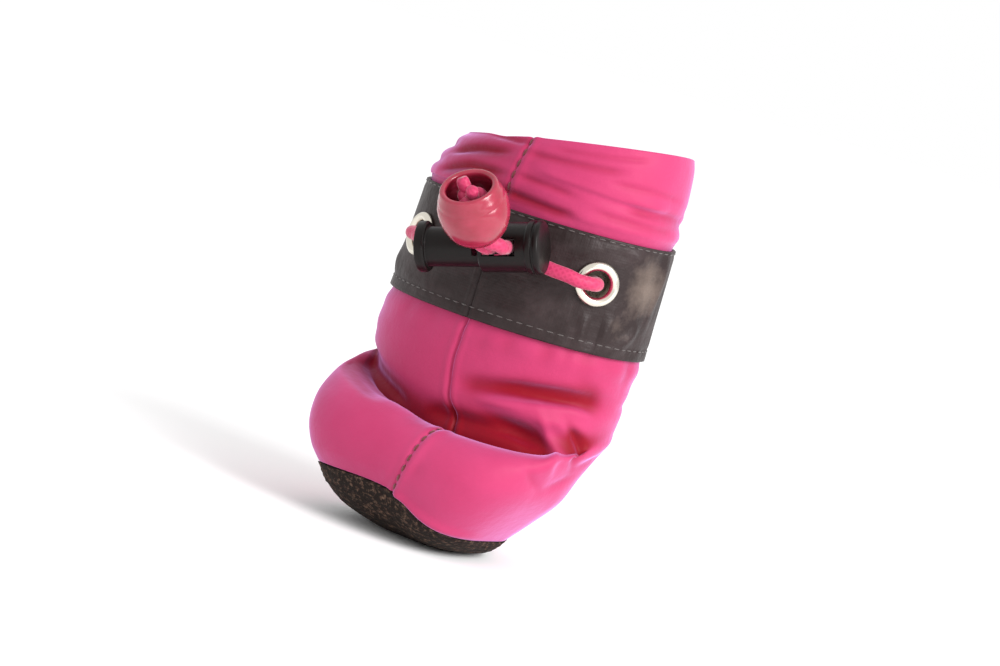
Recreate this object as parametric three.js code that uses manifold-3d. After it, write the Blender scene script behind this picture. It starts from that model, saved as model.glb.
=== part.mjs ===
// A small drawstring dog boot: a fabric upper on a thin wrapped sole, a reflective band with two
// eyelets, and an elastic drawcord held by a spring cord lock, its ends knotted in a bell cord end.
// Millimetres. +Z is up, the toe points along -Y, and the sole stands on Z = 0.

import * as THREE from 'three';
import { mergeVertices } from 'three/addons/utils/BufferGeometryUtils.js';
import Module from 'manifold-3d';

const wasm = await Module();
wasm.setup();

// Sizes of the boot
const bootHeight = 76;
const toeReach = 28.6; // from the shaft's centre line forward to the toe
const heelReach = 18.8; // from the shaft's centre line back to the heel
const ballWidth = 51;
const instepHeight = 26; // floor to the lip of the instep fold
const heelHeight = 28; // floor to where the back of the heel stands straight
const shaftWidth = 49;
const shaftDepth = 37;
const wall = 1.5; // shell fabric, padding and lining together
const pieceGap = 0.3;

// Sizes of the sole
const soleThickness = 2.2;
const soleRimWall = 1.7;
const insoleThickness = 1.8;

// Sizes of the reflective band
const collarHeight = 13; // from the band's upper edge to the collar
const collarLean = 3.6; // the collar's edge stands this much higher on the right, and lower on the left
const bandHeight = 21;
const bandThickness = 0.6;

// Sizes of the eyelets
const eyeletHole = 4.8;
const eyeletTube = 5.6;
const eyeletFlange = 8.2;
const eyeletFlangeThickness = 0.9;
const eyeletAngleLeft = - 38; // degrees round the shaft from the toe, right side positive
const eyeletAngleRight = 52.5;
const eyeletDropLeft = 9.8; // from the band's upper edge to the eyelet's centre
const eyeletDropRight = 8.6;

// Sizes of the drawcord, its lock and its end
const cordDiameter = 2.5;
const strandGap = 0.35;
const lockAside = 5.4; // middle of the lock's axis, to the right of the shaft's centre line
const lockStandOff = 10; // from the front of the shaft
const lockDrop = 7.2; // from the band's upper edge
const lockYaw = 15; // degrees, the barrel's end turned back towards the band
const lockTilt = 16; // degrees, the barrel's end up
const lockLength = 22.6;
const plungerTravel = 2;
const plungerDiameter = 7;
const plungerFlange = 9;
const plungerFlangeThickness = 1.8;
const plungerClearance = 0.3;
const barrelDiameter = 9.5;
const barrelMouthWall = 0.9;
const barrelEndWall = 1.1;
const plungerTipWall = 0.9;
const bellLength = 10.8;
const bellWidth = 12.4;
const bellWall = 1;
const bellNeckWidth = 7.6;
const bellMouthShare = 0.82; // of its width
const knotWidth = 6.6;

const aroundSteps = 44;
const degrees = Math.PI / 180;

// Materials
const finish = {
	shell: new THREE.MeshStandardMaterial( { color: 0xd9508c, roughness: 0.55 } ),
	sole: new THREE.MeshStandardMaterial( { color: 0x1d1816, roughness: 0.9 } ),
	felt: new THREE.MeshStandardMaterial( { color: 0xa59a8c, roughness: 1 } ),
	reflective: new THREE.MeshStandardMaterial( { color: 0x463d3f, roughness: 0.5 } ),
	nickel: new THREE.MeshStandardMaterial( { color: 0xd8d4cc, roughness: 0.2, metalness: 1 } ),
	cord: new THREE.MeshStandardMaterial( { color: 0xe0407e, roughness: 0.7 } ),
	blackPlastic: new THREE.MeshStandardMaterial( { color: 0x1c1818, roughness: 0.45 } ),
	pinkPlastic: new THREE.MeshStandardMaterial( { color: 0xe2487a, roughness: 0.25 } ),
};

// Reads a table of rows into objects with the columns' names.
function readTable( columns, rows ) {

	return rows.map( ( row ) => Object.fromEntries( columns.map( ( column, i ) => [ column, row[ i ] ] ) ) );

}

// The upper's sections, from the sole's edge to the collar. Each is a rounded loop, blunt at the
// toe and rounder at the heel. In the foot, toe and wide are shares of toeReach, heel of heelReach,
// half of ballWidth / 2, shift of ballWidth, toeUp of instepHeight and heelUp of heelHeight; side is
// a share of soleSideLift and slump of foldSlump.
const footSections = readTable(
	[ 'name', 'toe', 'toeUp', 'heel', 'heelUp', 'half', 'shift', 'wide', 'toeSquare', 'heelSquare', 'side', 'slump' ],
	[
		[ 'soleEdge', 0.925, 0.17, 0.5, 0.15, 0.7, - 0.075, 0.3, 3.3, 1.6, 1, 0 ],
		[ 'lowBulge', 0.985, 0.385, 0.62, 0.3, 0.81, - 0.055, 0.3, 3.6, 1.65, 0.5, 0 ],
		[ 'toeBulge', 1.0, 0.6, 0.71, 0.47, 0.915, - 0.036, 0.27, 3.8, 1.7, 0.1, 0.15 ],
		[ 'toeTop', 0.955, 0.74, 0.84, 0.66, 0.96, - 0.03, 0.24, 3.6, 1.8, 0, 0.4 ],
		[ 'toeShoulder', 0.86, 0.81, 0.93, 0.79, 0.965, - 0.02, 0.19, 3.2, 1.95, 0, 0.8 ],
		[ 'foldLip', 0.755, 0.815, 0.965, 0.87, 0.97, - 0.012, 0.13, 2.8, 2.0, 0, 1 ],
		[ 'foldInner', 0.665, 0.77, 0.985, 0.94, 0.958, - 0.006, 0.08, 2.4, 2.1, 0, 1 ],
		[ 'foldFloor', 0.602, 0.7, 0.995, 1.01, 0.945, - 0.004, 0.05, 2.2, 2.1, 0, 0.9 ],
	],
);

// In the shaft, front and back are shares of shaftDepth / 2, half of shaftWidth / 2, shift of
// shaftWidth, up is a share of the zone that the section lies in: leg, band or collar, and slump
// is as in the foot.
const shaftSections = readTable(
	[ 'name', 'zone', 'frontUp', 'backUp', 'front', 'back', 'half', 'shift', 'slump' ],
	[
		[ 'foldCeiling', 'leg', - 0.16, 0.25, 0.945, 1.015, 0.985, - 0.008, 0.75 ],
		[ 'overFold', 'leg', 0.1, 0.42, 0.995, 1.02, 1.015, - 0.018, 0.4 ],
		[ 'instep', 'leg', 0.54, 0.66, 1.02, 1.015, 1.025, - 0.02, 0.1 ],
		[ 'bandFoot', 'band', 0, 0, 1.01, 1.005, 1, - 0.003, 0 ],
		[ 'bandMiddle', 'band', 0.5, 0.5, 1, 1, 0.985, 0.005, 0 ],
		[ 'bandHead', 'band', 1, 1, 0.985, 0.99, 0.97, 0.012, 0 ],
		[ 'collarFoot', 'collar', 0.16, 0.16, 1.01, 1.01, 0.985, 0.014, 0 ],
		[ 'collarRoll', 'collar', 0.5, 0.5, 1.015, 1.02, 0.965, 0.024, 0 ],
		[ 'collarNeck', 'collar', 0.85, 0.85, 0.955, 0.98, 0.91, 0.044, 0 ],
		[ 'collarEdge', 'collar', 1, 1, 0.9, 0.955, 0.86, 0.056, 0 ],
	],
);

// Soft folds in the upper. Angles are degrees round from the toe, up is a share of bootHeight,
// reach is degrees to each side, spread is a share of bootHeight, slope is rise in shares of
// bootHeight over reach, and depth is a share of ballWidth. A negative depth is a ridge.
const folds = readTable(
	[ 'name', 'angle', 'up', 'reach', 'spread', 'slope', 'depth' ],
	[
		[ 'rightTrough', 52, 0.425, 27, 0.022, 0.004, 0.034 ],
		[ 'rightLowerTrough', 38, 0.335, 16, 0.022, - 0.02, 0.022 ],
		[ 'rightRoll', 52, 0.375, 24, 0.018, - 0.006, - 0.014 ],
		[ 'rightRidge', 58, 0.3, 8, 0.04, 0, - 0.014 ],
		[ 'leftPinch', - 66, 0.37, 20, 0.02, 0.02, 0.006 ],
		[ 'heelCrease', 165, 0.4, 40, 0.022, 0.01, 0.012 ],
		[ 'collarGatherRight', 50, 0.915, 38, 0.016, - 0.012, 0.012 ],
		[ 'collarGatherLeft', - 40, 0.925, 30, 0.016, 0.01, 0.01 ],
	],
);

// The sole's sections, from the edge of its flat to its rim. The shares are of the same sizes as in
// the foot; floor is how far the inside is raised by the sole's thickness, as against set in by its wall.
const soleSections = readTable(
	[ 'name', 'toe', 'toeUp', 'heel', 'heelUp', 'half', 'shift', 'wide', 'toeSquare', 'heelSquare', 'side', 'floor' ],
	[
		[ 'flatEdge', 0.52, 0, 0.29, 0, 0.35, - 0.05, 0.22, 2.3, 1.9, 0, 1 ],
		[ 'lowTurn', 0.73, 0.045, 0.37, 0.028, 0.52, - 0.068, 0.27, 2.6, 1.8, 0.3, 0.85 ],
		[ 'highTurn', 0.86, 0.11, 0.44, 0.082, 0.63, - 0.074, 0.3, 3.0, 1.7, 0.65, 0.35 ],
		[ 'rim', 0.925, 0.17, 0.5, 0.15, 0.7, - 0.075, 0.3, 3.3, 1.6, 1, 0 ],
	],
);

const bandTop = bootHeight - collarHeight;
const bandFoot = bandTop - bandHeight;
const soleSideLift = 5.2; // the sole's edge stands this much higher left of the toe's seam than right of it
const seamStep = { at: 0.45, steep: 4.5 }; // where that step lies across the toe, and how steep it is
const foldSlump = 5; // the instep fold stands this much higher on the left than on the right
const frontShare = 2.2; // over 1 keeps each section at its front height for less of the way round
const zones = {
	leg: { base: instepHeight, span: bandFoot - instepHeight },
	band: { base: bandFoot, span: bandHeight },
	collar: { base: bandTop, span: collarHeight },
};

function footRow( share, rise = 0 ) {

	return {
		toe: share.toe * toeReach,
		toeUp: share.toeUp * instepHeight + rise,
		heel: share.heel * heelReach,
		heelUp: share.heelUp * heelHeight + rise,
		half: share.half * ballWidth / 2,
		shift: share.shift * ballWidth,
		wide: share.wide * toeReach,
		toeSquare: share.toeSquare,
		heelSquare: share.heelSquare,
		side: share.side * soleSideLift,
		slump: 'slump' in share ? share.slump * foldSlump : 0,
		lean: 0,
	};

}

function shaftRow( share ) {

	const zone = zones[ share.zone ];
	return {
		toe: share.front * shaftDepth / 2,
		toeUp: zone.base + share.frontUp * zone.span,
		heel: share.back * shaftDepth / 2,
		heelUp: zone.base + share.backUp * zone.span,
		half: share.half * shaftWidth / 2,
		shift: share.shift * shaftWidth,
		wide: 0,
		toeSquare: 2.1,
		heelSquare: 2.1,
		side: 0,
		slump: share.slump * foldSlump,
		lean: share.zone === 'collar' ? share.frontUp * collarLean : 0,
	};

}

const upperRows = [
	...footSections.map( ( share ) => footRow( share, pieceGap ) ),
	...shaftSections.map( shaftRow ),
];
const rowOf = Object.fromEntries( [ ...footSections, ...shaftSections ].map( ( share, i ) => [ share.name, i ] ) );

// A point of one section: angle 0 is the toe, 90 degrees the right side.
function sectionPoint( row, angle ) {

	const forward = Math.cos( angle );
	const sideways = Math.sin( angle );
	const square = forward > 0 ? row.toeSquare : row.heelSquare;
	const reach = forward > 0 ? row.toe - row.wide : row.heel + row.wide;
	const round = ( Math.abs( forward ) ** square + Math.abs( sideways ) ** square ) ** ( - 1 / square );
	const leftOfSeam = ( 1 - Math.tanh( seamStep.steep * ( sideways - seamStep.at ) ) ) / 2;
	const slant = row.lean * sideways + row.side * leftOfSeam * ( 1 + forward ) / 2 + row.slump * ( ( 1 - sideways ) / 2 ) ** 2;
	return new THREE.Vector3(
		row.shift + row.half * round * sideways,
		- row.wide - reach * round * forward,
		row.heelUp + ( row.toeUp - row.heelUp ) * ( ( 1 + forward ) / 2 ) ** frontShare + slant,
	);

}

// A smooth value between the rows of a table, by the cubic through four neighbours.
function blendRows( rows, place ) {

	const i = Math.min( Math.floor( place ), rows.length - 2 );
	const t = place - i;
	const near = ( k ) => rows[ THREE.MathUtils.clamp( k, 0, rows.length - 1 ) ];
	const blended = {};
	for ( const key of Object.keys( rows[ 0 ] ) ) {

		const [ a, b, c, d ] = [ near( i - 1 )[ key ], near( i )[ key ], near( i + 1 )[ key ], near( i + 2 )[ key ] ];
		const rise = ( c - a ) / 2;
		const nextRise = ( d - b ) / 2;
		blended[ key ] = b + rise * t + ( 3 * ( c - b ) - 2 * rise - nextRise ) * t ** 2
			+ ( 2 * ( b - c ) + rise + nextRise ) * t ** 3;

	}

	return blended;

}

// How far the folds push the upper in at a place.
function foldDepth( angle, up ) {

	let depth = 0;
	for ( const fold of folds ) {

		const turned = Math.atan2( Math.sin( angle - fold.angle * degrees ), Math.cos( angle - fold.angle * degrees ) );
		const along = turned / ( fold.reach * degrees );
		const across = ( up / bootHeight - fold.up - fold.slope * along ) / fold.spread;
		depth += fold.depth * ballWidth * Math.exp( - ( along ** 2 ) - across ** 2 );

	}

	return depth;

}

function foldedPoint( place, angle ) {

	const point = sectionPoint( blendRows( upperRows, place ), angle );
	const depth = foldDepth( angle, point.z );
	point.x -= depth * Math.sin( angle );
	point.y += depth * Math.cos( angle );
	return point;

}

// The upper's own surface: a place counts the sections from the sole's edge, and out is the
// distance from the outer face, negative towards the inside.
function upperPoint( place, angle, out = 0 ) {

	const nudge = 0.02;
	const last = upperRows.length - 1;
	const point = foldedPoint( place, angle );
	const low = foldedPoint( Math.max( place - nudge, 0 ), angle );
	const high = foldedPoint( Math.min( place + nudge, last ), angle );
	const left = foldedPoint( place, angle - nudge );
	const right = foldedPoint( place, angle + nudge );
	const normal = right.sub( left ).cross( high.sub( low ) ).normalize();
	return point.addScaledVector( normal, out );

}

// Geometry made of closed loops of points. As a tube it joins the last loop to the first;
// otherwise each end is closed over its middle.
function loopsToGeometry( loops, isTube ) {

	const count = loops[ 0 ].length;
	const points = loops.flat();
	const faces = [];
	const lastLoop = isTube ? loops.length : loops.length - 1;
	for ( let i = 0; i < lastLoop; i ++ ) {

		const from = i * count;
		const to = ( ( i + 1 ) % loops.length ) * count;
		for ( let j = 0; j < count; j ++ ) {

			const next = ( j + 1 ) % count;
			faces.push( from + j, from + next, to + next, from + j, to + next, to + j );

		}

	}

	if ( ! isTube ) {

		for ( const [ start, isFirst ] of [ [ 0, true ], [ ( loops.length - 1 ) * count, false ] ] ) {

			const loop = points.slice( start, start + count );
			const middle = loop.reduce( ( sum, p ) => sum.add( p ), new THREE.Vector3() ).divideScalar( count );
			const centre = points.push( middle ) - 1;
			for ( let j = 0; j < count; j ++ ) {

				const next = ( j + 1 ) % count;
				if ( isFirst ) faces.push( centre, start + next, start + j );
				else faces.push( centre, start + j, start + next );

			}

		}

	}

	const geometry = new THREE.BufferGeometry().setFromPoints( points );
	geometry.setIndex( faces );
	return geometry;

}

function loop( pointAt ) {

	return Array.from( { length: aroundSteps }, ( _, j ) => pointAt( 2 * Math.PI * j / aroundSteps ) );

}

function toSolid( geometry ) {

	const plain = geometry.clone();
	plain.deleteAttribute( 'normal' );
	plain.deleteAttribute( 'uv' );
	const merged = mergeVertices( plain, 1e-3 );
	return new wasm.Manifold( new wasm.Mesh( {
		numProp: 3,
		vertProperties: new Float32Array( merged.attributes.position.array ),
		triVerts: new Uint32Array( merged.index.array ),
	} ) );

}

function toGeometry( solid ) {

	const mesh = solid.getMesh();
	const geometry = new THREE.BufferGeometry();
	geometry.setAttribute( 'position', new THREE.BufferAttribute( mesh.vertProperties, 3 ) );
	geometry.setIndex( new THREE.BufferAttribute( mesh.triVerts, 1 ) );
	geometry.computeVertexNormals();
	return geometry;

}

function cut( geometry, tools ) {

	let solid = toSolid( geometry );
	for ( const tool of tools ) solid = solid.subtract( toSolid( tool ) );
	return toGeometry( solid );

}

const group = new THREE.Group();

function addPiece( name, geometry, material ) {

	geometry.computeVertexNormals();
	const mesh = new THREE.Mesh( geometry, material );
	mesh.name = name;
	group.add( mesh );
	return mesh;

}

// A place where the band's upper rows give the eyelet's height on the shaft.
const bandRows = [ rowOf.bandFoot, rowOf.bandMiddle, rowOf.bandHead ];

function eyeletFrame( angle, drop ) {

	const place = rowOf.bandHead - 2 * drop / bandHeight;
	const centre = upperPoint( place, angle );
	const outside = upperPoint( place, angle, 1 ).sub( centre );
	return { centre, outside };

}

const eyeletFrames = {
	left: eyeletFrame( eyeletAngleLeft * degrees, eyeletDropLeft ),
	right: eyeletFrame( eyeletAngleRight * degrees, eyeletDropRight ),
};

// A round bar along a frame's outward direction, for the eyelet holes.
function eyeletBore( { centre, outside } ) {

	const length = 12;
	const bore = new THREE.CylinderGeometry( eyeletTube / 2 + pieceGap, eyeletTube / 2 + pieceGap, length, 20 );
	bore.applyQuaternion( new THREE.Quaternion().setFromUnitVectors( new THREE.Vector3( 0, 1, 0 ), outside ) );
	bore.translate( centre.x, centre.y, centre.z );
	return bore;

}

const eyeletBores = [ eyeletBore( eyeletFrames.left ), eyeletBore( eyeletFrames.right ) ];

// Upper: one wall from the sole's edge to the collar, open at both ends
function makeUpper() {

	const stepsPerRow = 1.5;
	const steps = Math.round( ( upperRows.length - 1 ) * stepsPerRow );
	const places = Array.from( { length: steps + 1 }, ( _, i ) => i * ( upperRows.length - 1 ) / steps );
	const outer = places.map( ( place ) => loop( ( angle ) => upperPoint( place, angle ) ) );
	const inner = places.map( ( place ) => loop( ( angle ) => upperPoint( place, angle, - wall ) ) );
	const shell = loopsToGeometry( [ ...outer, ...inner.reverse() ], true );
	return cut( shell, eyeletBores );

}

// Reflective band: cut from the upper's surface between two larger offsets
function makeBand() {

	const inset = 2 * pieceGap / bandHeight; // the band's edges lie a little inside the band's zone
	const [ foot, middle, head ] = bandRows;
	const places = [ foot + inset, ( foot + middle ) / 2, middle, ( middle + head ) / 2, head - inset ];
	const layer = ( out ) => places.map( ( place ) => loop( ( angle ) => upperPoint( place, angle, out ) ) );
	const outer = layer( pieceGap + bandThickness );
	const inner = layer( pieceGap );
	return cut( loopsToGeometry( [ ...outer, ...inner.reverse() ], true ), eyeletBores );

}

// Outsole: a shallow cup with a flat underside, its toe turned up
function makeOutsole() {

	const outer = soleSections.map( ( share ) => loop( ( angle ) => sectionPoint( footRow( share ), angle ) ) );
	const inner = soleSections.map( ( share ) => loop( ( angle ) => insidePoint( share, angle ) ) );
	return loopsToGeometry( [ ...outer, ...inner.reverse() ], false );

}

// A point inside the sole: raised by its thickness at the floor and set in by its wall at the rim.
function insidePoint( share, angle, up = 0, setIn = 0 ) {

	const row = footRow( share, soleThickness * share.floor + up );
	const shrink = soleRimWall * ( 1 - share.floor ) + setIn;
	return sectionPoint( { ...row, toe: row.toe - shrink, heel: row.heel - shrink, half: row.half - shrink }, angle );

}

// Insole: a thin pad that lies in the sole's cup
function makeInsole() {

	const [ flat, turn ] = soleSections;
	const top = pieceGap + insoleThickness;
	return loopsToGeometry( [
		loop( ( angle ) => insidePoint( flat, angle, pieceGap, pieceGap ) ),
		loop( ( angle ) => insidePoint( turn, angle, pieceGap, 2 * pieceGap ) ),
		loop( ( angle ) => insidePoint( turn, angle, top, 3 * pieceGap ) ),
		loop( ( angle ) => insidePoint( flat, angle, top, pieceGap ) ),
	], false );

}

// A turned solid from [radius, height] pairs, its axis along the given direction
function turned( profile, segments, direction, origin ) {

	const points = profile.map( ( [ radius, height ] ) => new THREE.Vector2( radius, height ) );
	const geometry = new THREE.LatheGeometry( points, segments );
	geometry.applyQuaternion( new THREE.Quaternion().setFromUnitVectors( new THREE.Vector3( 0, 1, 0 ), direction ) );
	geometry.translate( origin.x, origin.y, origin.z );
	return toGeometry( toSolid( geometry ) );

}

// Eyelet: a rolled flange outside, a tube through the wall and a washer inside
function makeEyelet( { centre, outside } ) {

	const face = 2 * pieceGap + bandThickness;
	const sag = ( eyeletFlange / 2 ) ** 2 / shaftDepth; // the wall bends in behind the flat washer
	const back = - wall - pieceGap - sag;
	const hole = eyeletHole / 2;
	const tube = eyeletTube / 2;
	const flange = eyeletFlange / 2;
	const thick = eyeletFlangeThickness;
	return turned( [
		[ hole, back - thick ],
		[ flange - 0.3, back - thick ],
		[ flange - 0.3, back ],
		[ tube, back ],
		[ tube, face ],
		[ flange, face ],
		[ flange - 0.1, face + thick * 0.6 ],
		[ flange - 0.7, face + thick ],
		[ hole + 0.6, face + thick ],
		[ hole, face + thick * 0.4 ],
		[ hole, back - thick ],
	], 20, outside, centre );

}

// The lock's own directions: along its axis towards the barrel, out through its slot, and up
const lockAlong = new THREE.Vector3(
	Math.cos( lockYaw * degrees ) * Math.cos( lockTilt * degrees ),
	Math.sin( lockYaw * degrees ) * Math.cos( lockTilt * degrees ),
	Math.sin( lockTilt * degrees ),
);
const lockOut = new THREE.Vector3( Math.sin( lockYaw * degrees ), - Math.cos( lockYaw * degrees ), 0 );
const lockUp = new THREE.Vector3().crossVectors( lockAlong, lockOut ).negate();
const lockPlace = new THREE.Vector3( lockAside, - shaftDepth / 2 - lockStandOff, bandTop - lockDrop );
const lockStart = lockPlace.clone().addScaledVector( lockAlong, - lockLength / 2 );

function lockPoint( along, out, up = 0 ) {

	return lockStart.clone().addScaledVector( lockAlong, along ).addScaledVector( lockOut, out ).addScaledVector( lockUp, up );

}

// Places along the lock, from the plunger's flange to the barrel's closed end. The strands lie
// side by side in the slot, which the plunger's own slot clears all along its travel.
const barrelEnd = lockLength;
const boreEnd = barrelEnd - barrelEndWall;
const plungerTip = boreEnd - pieceGap - plungerTravel;
const strandsEnd = plungerTip - plungerTipWall - pieceGap;
const strandsStart = strandsEnd - 2 * cordDiameter - strandGap;
const barrelMouth = strandsStart - pieceGap - barrelMouthWall;
const strandAlong = {
	left: strandsStart + cordDiameter / 2,
	right: strandsEnd - cordDiameter / 2,
};

// A flat-sided bar through the lock, along the way out of its slot
function slotBar( from, to ) {

	const length = 2 * barrelDiameter;
	const bar = new THREE.BoxGeometry( to - from, length, cordDiameter + 2 * pieceGap );
	const turn = new THREE.Matrix4().makeBasis( lockAlong, lockOut, lockUp.clone().negate() );
	bar.applyMatrix4( turn );
	const middle = lockPoint( ( from + to ) / 2, 0 );
	bar.translate( middle.x, middle.y, middle.z );
	return bar;

}

function makeBarrel() {

	const radius = barrelDiameter / 2;
	const waist = radius - 0.35;
	const bore = plungerDiameter / 2 + plungerClearance;
	const rib = 0.9;
	const profile = [
		[ 0, barrelEnd ],
		[ radius - 0.6, barrelEnd ],
		[ radius, barrelEnd - 0.5 ],
		[ radius, barrelEnd - rib ],
		[ waist, barrelEnd - rib ],
		[ waist, barrelEnd - 1.6 * rib ],
		[ radius, barrelEnd - 1.6 * rib ],
		[ radius, barrelEnd - 2.6 * rib ],
		[ waist, barrelEnd - 2.9 * rib ],
		[ waist, barrelMouth + 0.4 ],
		[ waist - 0.4, barrelMouth ],
		[ bore, barrelMouth ],
		[ bore, boreEnd ],
		[ 0, boreEnd ],
	];
	const solid = turned( profile.reverse(), 24, lockAlong, lockStart );
	return cut( solid, [ slotBar( strandsStart - pieceGap, strandsEnd + pieceGap ) ] );

}

function makePlunger() {

	const radius = plungerDiameter / 2;
	const flange = plungerFlange / 2;
	const solid = turned( [
		[ 0, 0 ],
		[ flange - 0.5, 0 ],
		[ flange, 0.4 ],
		[ flange, plungerFlangeThickness - 0.3 ],
		[ flange - 0.3, plungerFlangeThickness ],
		[ radius, plungerFlangeThickness ],
		[ radius, plungerTip - 0.3 ],
		[ radius - 0.3, plungerTip ],
		[ 0, plungerTip ],
	], 20, lockAlong, lockStart );
	return cut( solid, [ slotBar( strandsStart - pieceGap - plungerTravel, strandsEnd + pieceGap ) ] );

}

// A cord tube along hand-chosen points
function cordTube( points, steps ) {

	const sides = 8;
	const radius = cordDiameter / 2;
	const section = new THREE.Shape( Array.from( { length: sides }, ( _, i ) => new THREE.Vector2(
		radius * Math.cos( 2 * Math.PI * i / sides ),
		radius * Math.sin( 2 * Math.PI * i / sides ),
	) ) );
	const geometry = new THREE.ExtrudeGeometry( section, {
		steps,
		extrudePath: new THREE.CatmullRomCurve3( points, false, 'centripetal' ),
	} );
	return toGeometry( toSolid( geometry ) );

}

// A point by an eyelet: out from the wall, and along the band towards the lock
function eyeletPoint( { centre, outside }, out, along ) {

	const sideways = new THREE.Vector3( 0, 0, 1 ).cross( outside ).normalize();
	return centre.clone().addScaledVector( outside, out ).addScaledVector( sideways, along );

}

// Where each strand runs: out of its eyelet, round behind the lock and through its slot
const slotFront = barrelDiameter / 2 + 0.6;
const barRoutes = {
	left: [
		eyeletPoint( eyeletFrames.left, 0.2, 0 ),
		eyeletPoint( eyeletFrames.left, 2.1, 0.3 ),
		eyeletPoint( eyeletFrames.left, 3.75, 1.8 ),
		eyeletPoint( eyeletFrames.left, 4, 4.4 ),
		new THREE.Vector3( - 11.4, - 21.7, 53.2 ),
		new THREE.Vector3( - 7, - 23, 53.8 ),
		new THREE.Vector3( - 2.5, - 23.2, 54.4 ),
		new THREE.Vector3( 1, - 22.9, 55 ),
		new THREE.Vector3( 3.8, - 22, 55.6 ),
		new THREE.Vector3( 5.8, - 21.6, 56 ),
		lockPoint( strandAlong.left + 0.05, - 5.6, - 0.2 ),
		lockPoint( strandAlong.left, - 3.8 ),
		lockPoint( strandAlong.left, 0 ),
		lockPoint( strandAlong.left, slotFront ),
	],
	right: [
		eyeletPoint( eyeletFrames.right, 0.2, 0 ),
		eyeletPoint( eyeletFrames.right, 2.1, - 0.3 ),
		eyeletPoint( eyeletFrames.right, 3.75, - 1.8 ),
		eyeletPoint( eyeletFrames.right, 4, - 4.4 ),
		new THREE.Vector3( 17.9, - 18.4, 54.9 ),
		new THREE.Vector3( 15.2, - 19.5, 55.1 ),
		new THREE.Vector3( 12.6, - 20.2, 55.5 ),
		lockPoint( strandAlong.right + 0.6, - 6.1, - 0.6 ),
		lockPoint( strandAlong.right, - 4.2 ),
		lockPoint( strandAlong.right, 0 ),
		lockPoint( strandAlong.right, slotFront ),
	],
};

// Bell: it points forward and up from in front of the lock's slot
const bellAlong = new THREE.Vector3( - 0.07, - 0.66, 0.75 ).normalize();
const bellPlace = lockPoint( strandAlong.left - 0.2, barrelDiameter / 2 + 4.5, 1.9 );

function bellPoint( along, sideways, up = 0 ) {

	const side = new THREE.Vector3( 1, 0, 0 ).addScaledVector( bellAlong, - bellAlong.x ).normalize();
	const rise = new THREE.Vector3().crossVectors( side, bellAlong ).negate();
	return bellPlace.clone().addScaledVector( bellAlong, along ).addScaledVector( side, sideways ).addScaledVector( rise, up );

}

function makeBell() {

	const neckHole = cordDiameter + strandGap / 2 + pieceGap;
	const neck = bellNeckWidth / 2;
	const belly = bellWidth / 2;
	const mouth = belly * bellMouthShare;
	const outline = [
		[ neck, 0 ],
		[ neck + 0.3 * ( belly - neck ), 0.09 * bellLength ],
		[ neck + 0.72 * ( belly - neck ), 0.25 * bellLength ],
		[ belly, 0.5 * bellLength ],
		[ belly, 0.68 * bellLength ],
		[ ( belly + 2 * mouth ) / 3, 0.86 * bellLength ],
		[ mouth, bellLength - 0.3 ],
	];
	const inside = outline.slice( 1 ).map( ( [ radius, height ] ) => [ radius - bellWall, height ] ).reverse();
	const profile = [
		...outline,
		[ mouth - bellWall / 2, bellLength ],
		...inside.slice( 0, - 1 ),
		[ neckHole + 0.2, 0.13 * bellLength ],
		[ neckHole, 0 ],
		[ neck, 0 ],
	];
	return turned( profile, 24, bellAlong, bellPlace );

}

const knotAlong = 6.9;
const tailEnd = knotAlong - knotWidth / 2 - pieceGap - 0.1;
const strandSide = ( cordDiameter + strandGap ) / 2;
const tailRoutes = {
	left: [
		lockPoint( strandAlong.left, slotFront + pieceGap ),
		lockPoint( strandAlong.left, slotFront + 1 ),
		lockPoint( strandAlong.left - 0.6, slotFront + 2.2, 0.5 ),
		bellPoint( - 0.8, - strandSide ),
		bellPoint( 0.8, - strandSide ),
		bellPoint( tailEnd, - strandSide ),
	],
	right: [
		lockPoint( strandAlong.right, slotFront + pieceGap ),
		lockPoint( strandAlong.right, slotFront + 1 ),
		lockPoint( strandAlong.right - 0.3, slotFront + 2.2, 0.4 ),
		bellPoint( - 0.8, strandSide ),
		bellPoint( 0.8, strandSide ),
		bellPoint( tailEnd, strandSide ),
	],
};

// Knot: a lumpy ball, wider than high
function makeKnot() {

	const geometry = new THREE.SphereGeometry( knotWidth / 2, 16, 10 );
	const position = geometry.attributes.position;
	for ( let i = 0; i < position.count; i ++ ) {

		const p = new THREE.Vector3().fromBufferAttribute( position, i );
		const turn = Math.atan2( p.z, p.x );
		const lump = 1 + 0.07 * Math.cos( 3 * turn + 2 * p.y / knotWidth );
		position.setXYZ( i, p.x * lump, p.y * 0.9, p.z * lump );

	}

	geometry.applyQuaternion( new THREE.Quaternion().setFromUnitVectors( new THREE.Vector3( 0, 1, 0 ), bellAlong ) );
	const centre = bellPoint( knotAlong, 0 );
	geometry.translate( centre.x, centre.y, centre.z );
	return toGeometry( toSolid( geometry ) );

}

addPiece( 'upper', makeUpper(), finish.shell );
addPiece( 'outsole', makeOutsole(), finish.sole );
addPiece( 'insole', makeInsole(), finish.felt );
addPiece( 'reflective_band', makeBand(), finish.reflective );
addPiece( 'eyelet_left', makeEyelet( eyeletFrames.left ), finish.nickel );
addPiece( 'eyelet_right', makeEyelet( eyeletFrames.right ), finish.nickel );
addPiece( 'cord_lock_barrel', makeBarrel(), finish.blackPlastic );
addPiece( 'cord_lock_plunger', makePlunger(), finish.blackPlastic );
addPiece( 'drawcord_bar_left', cordTube( barRoutes.left, 22 ), finish.cord );
addPiece( 'drawcord_bar_right', cordTube( barRoutes.right, 18 ), finish.cord );
addPiece( 'drawcord_tail_left', cordTube( tailRoutes.left, 7 ), finish.cord );
addPiece( 'drawcord_tail_right', cordTube( tailRoutes.right, 7 ), finish.cord );
addPiece( 'drawcord_knot', makeKnot(), finish.cord );
addPiece( 'cord_bell', makeBell(), finish.pinkPlastic );

export default group;
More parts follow.
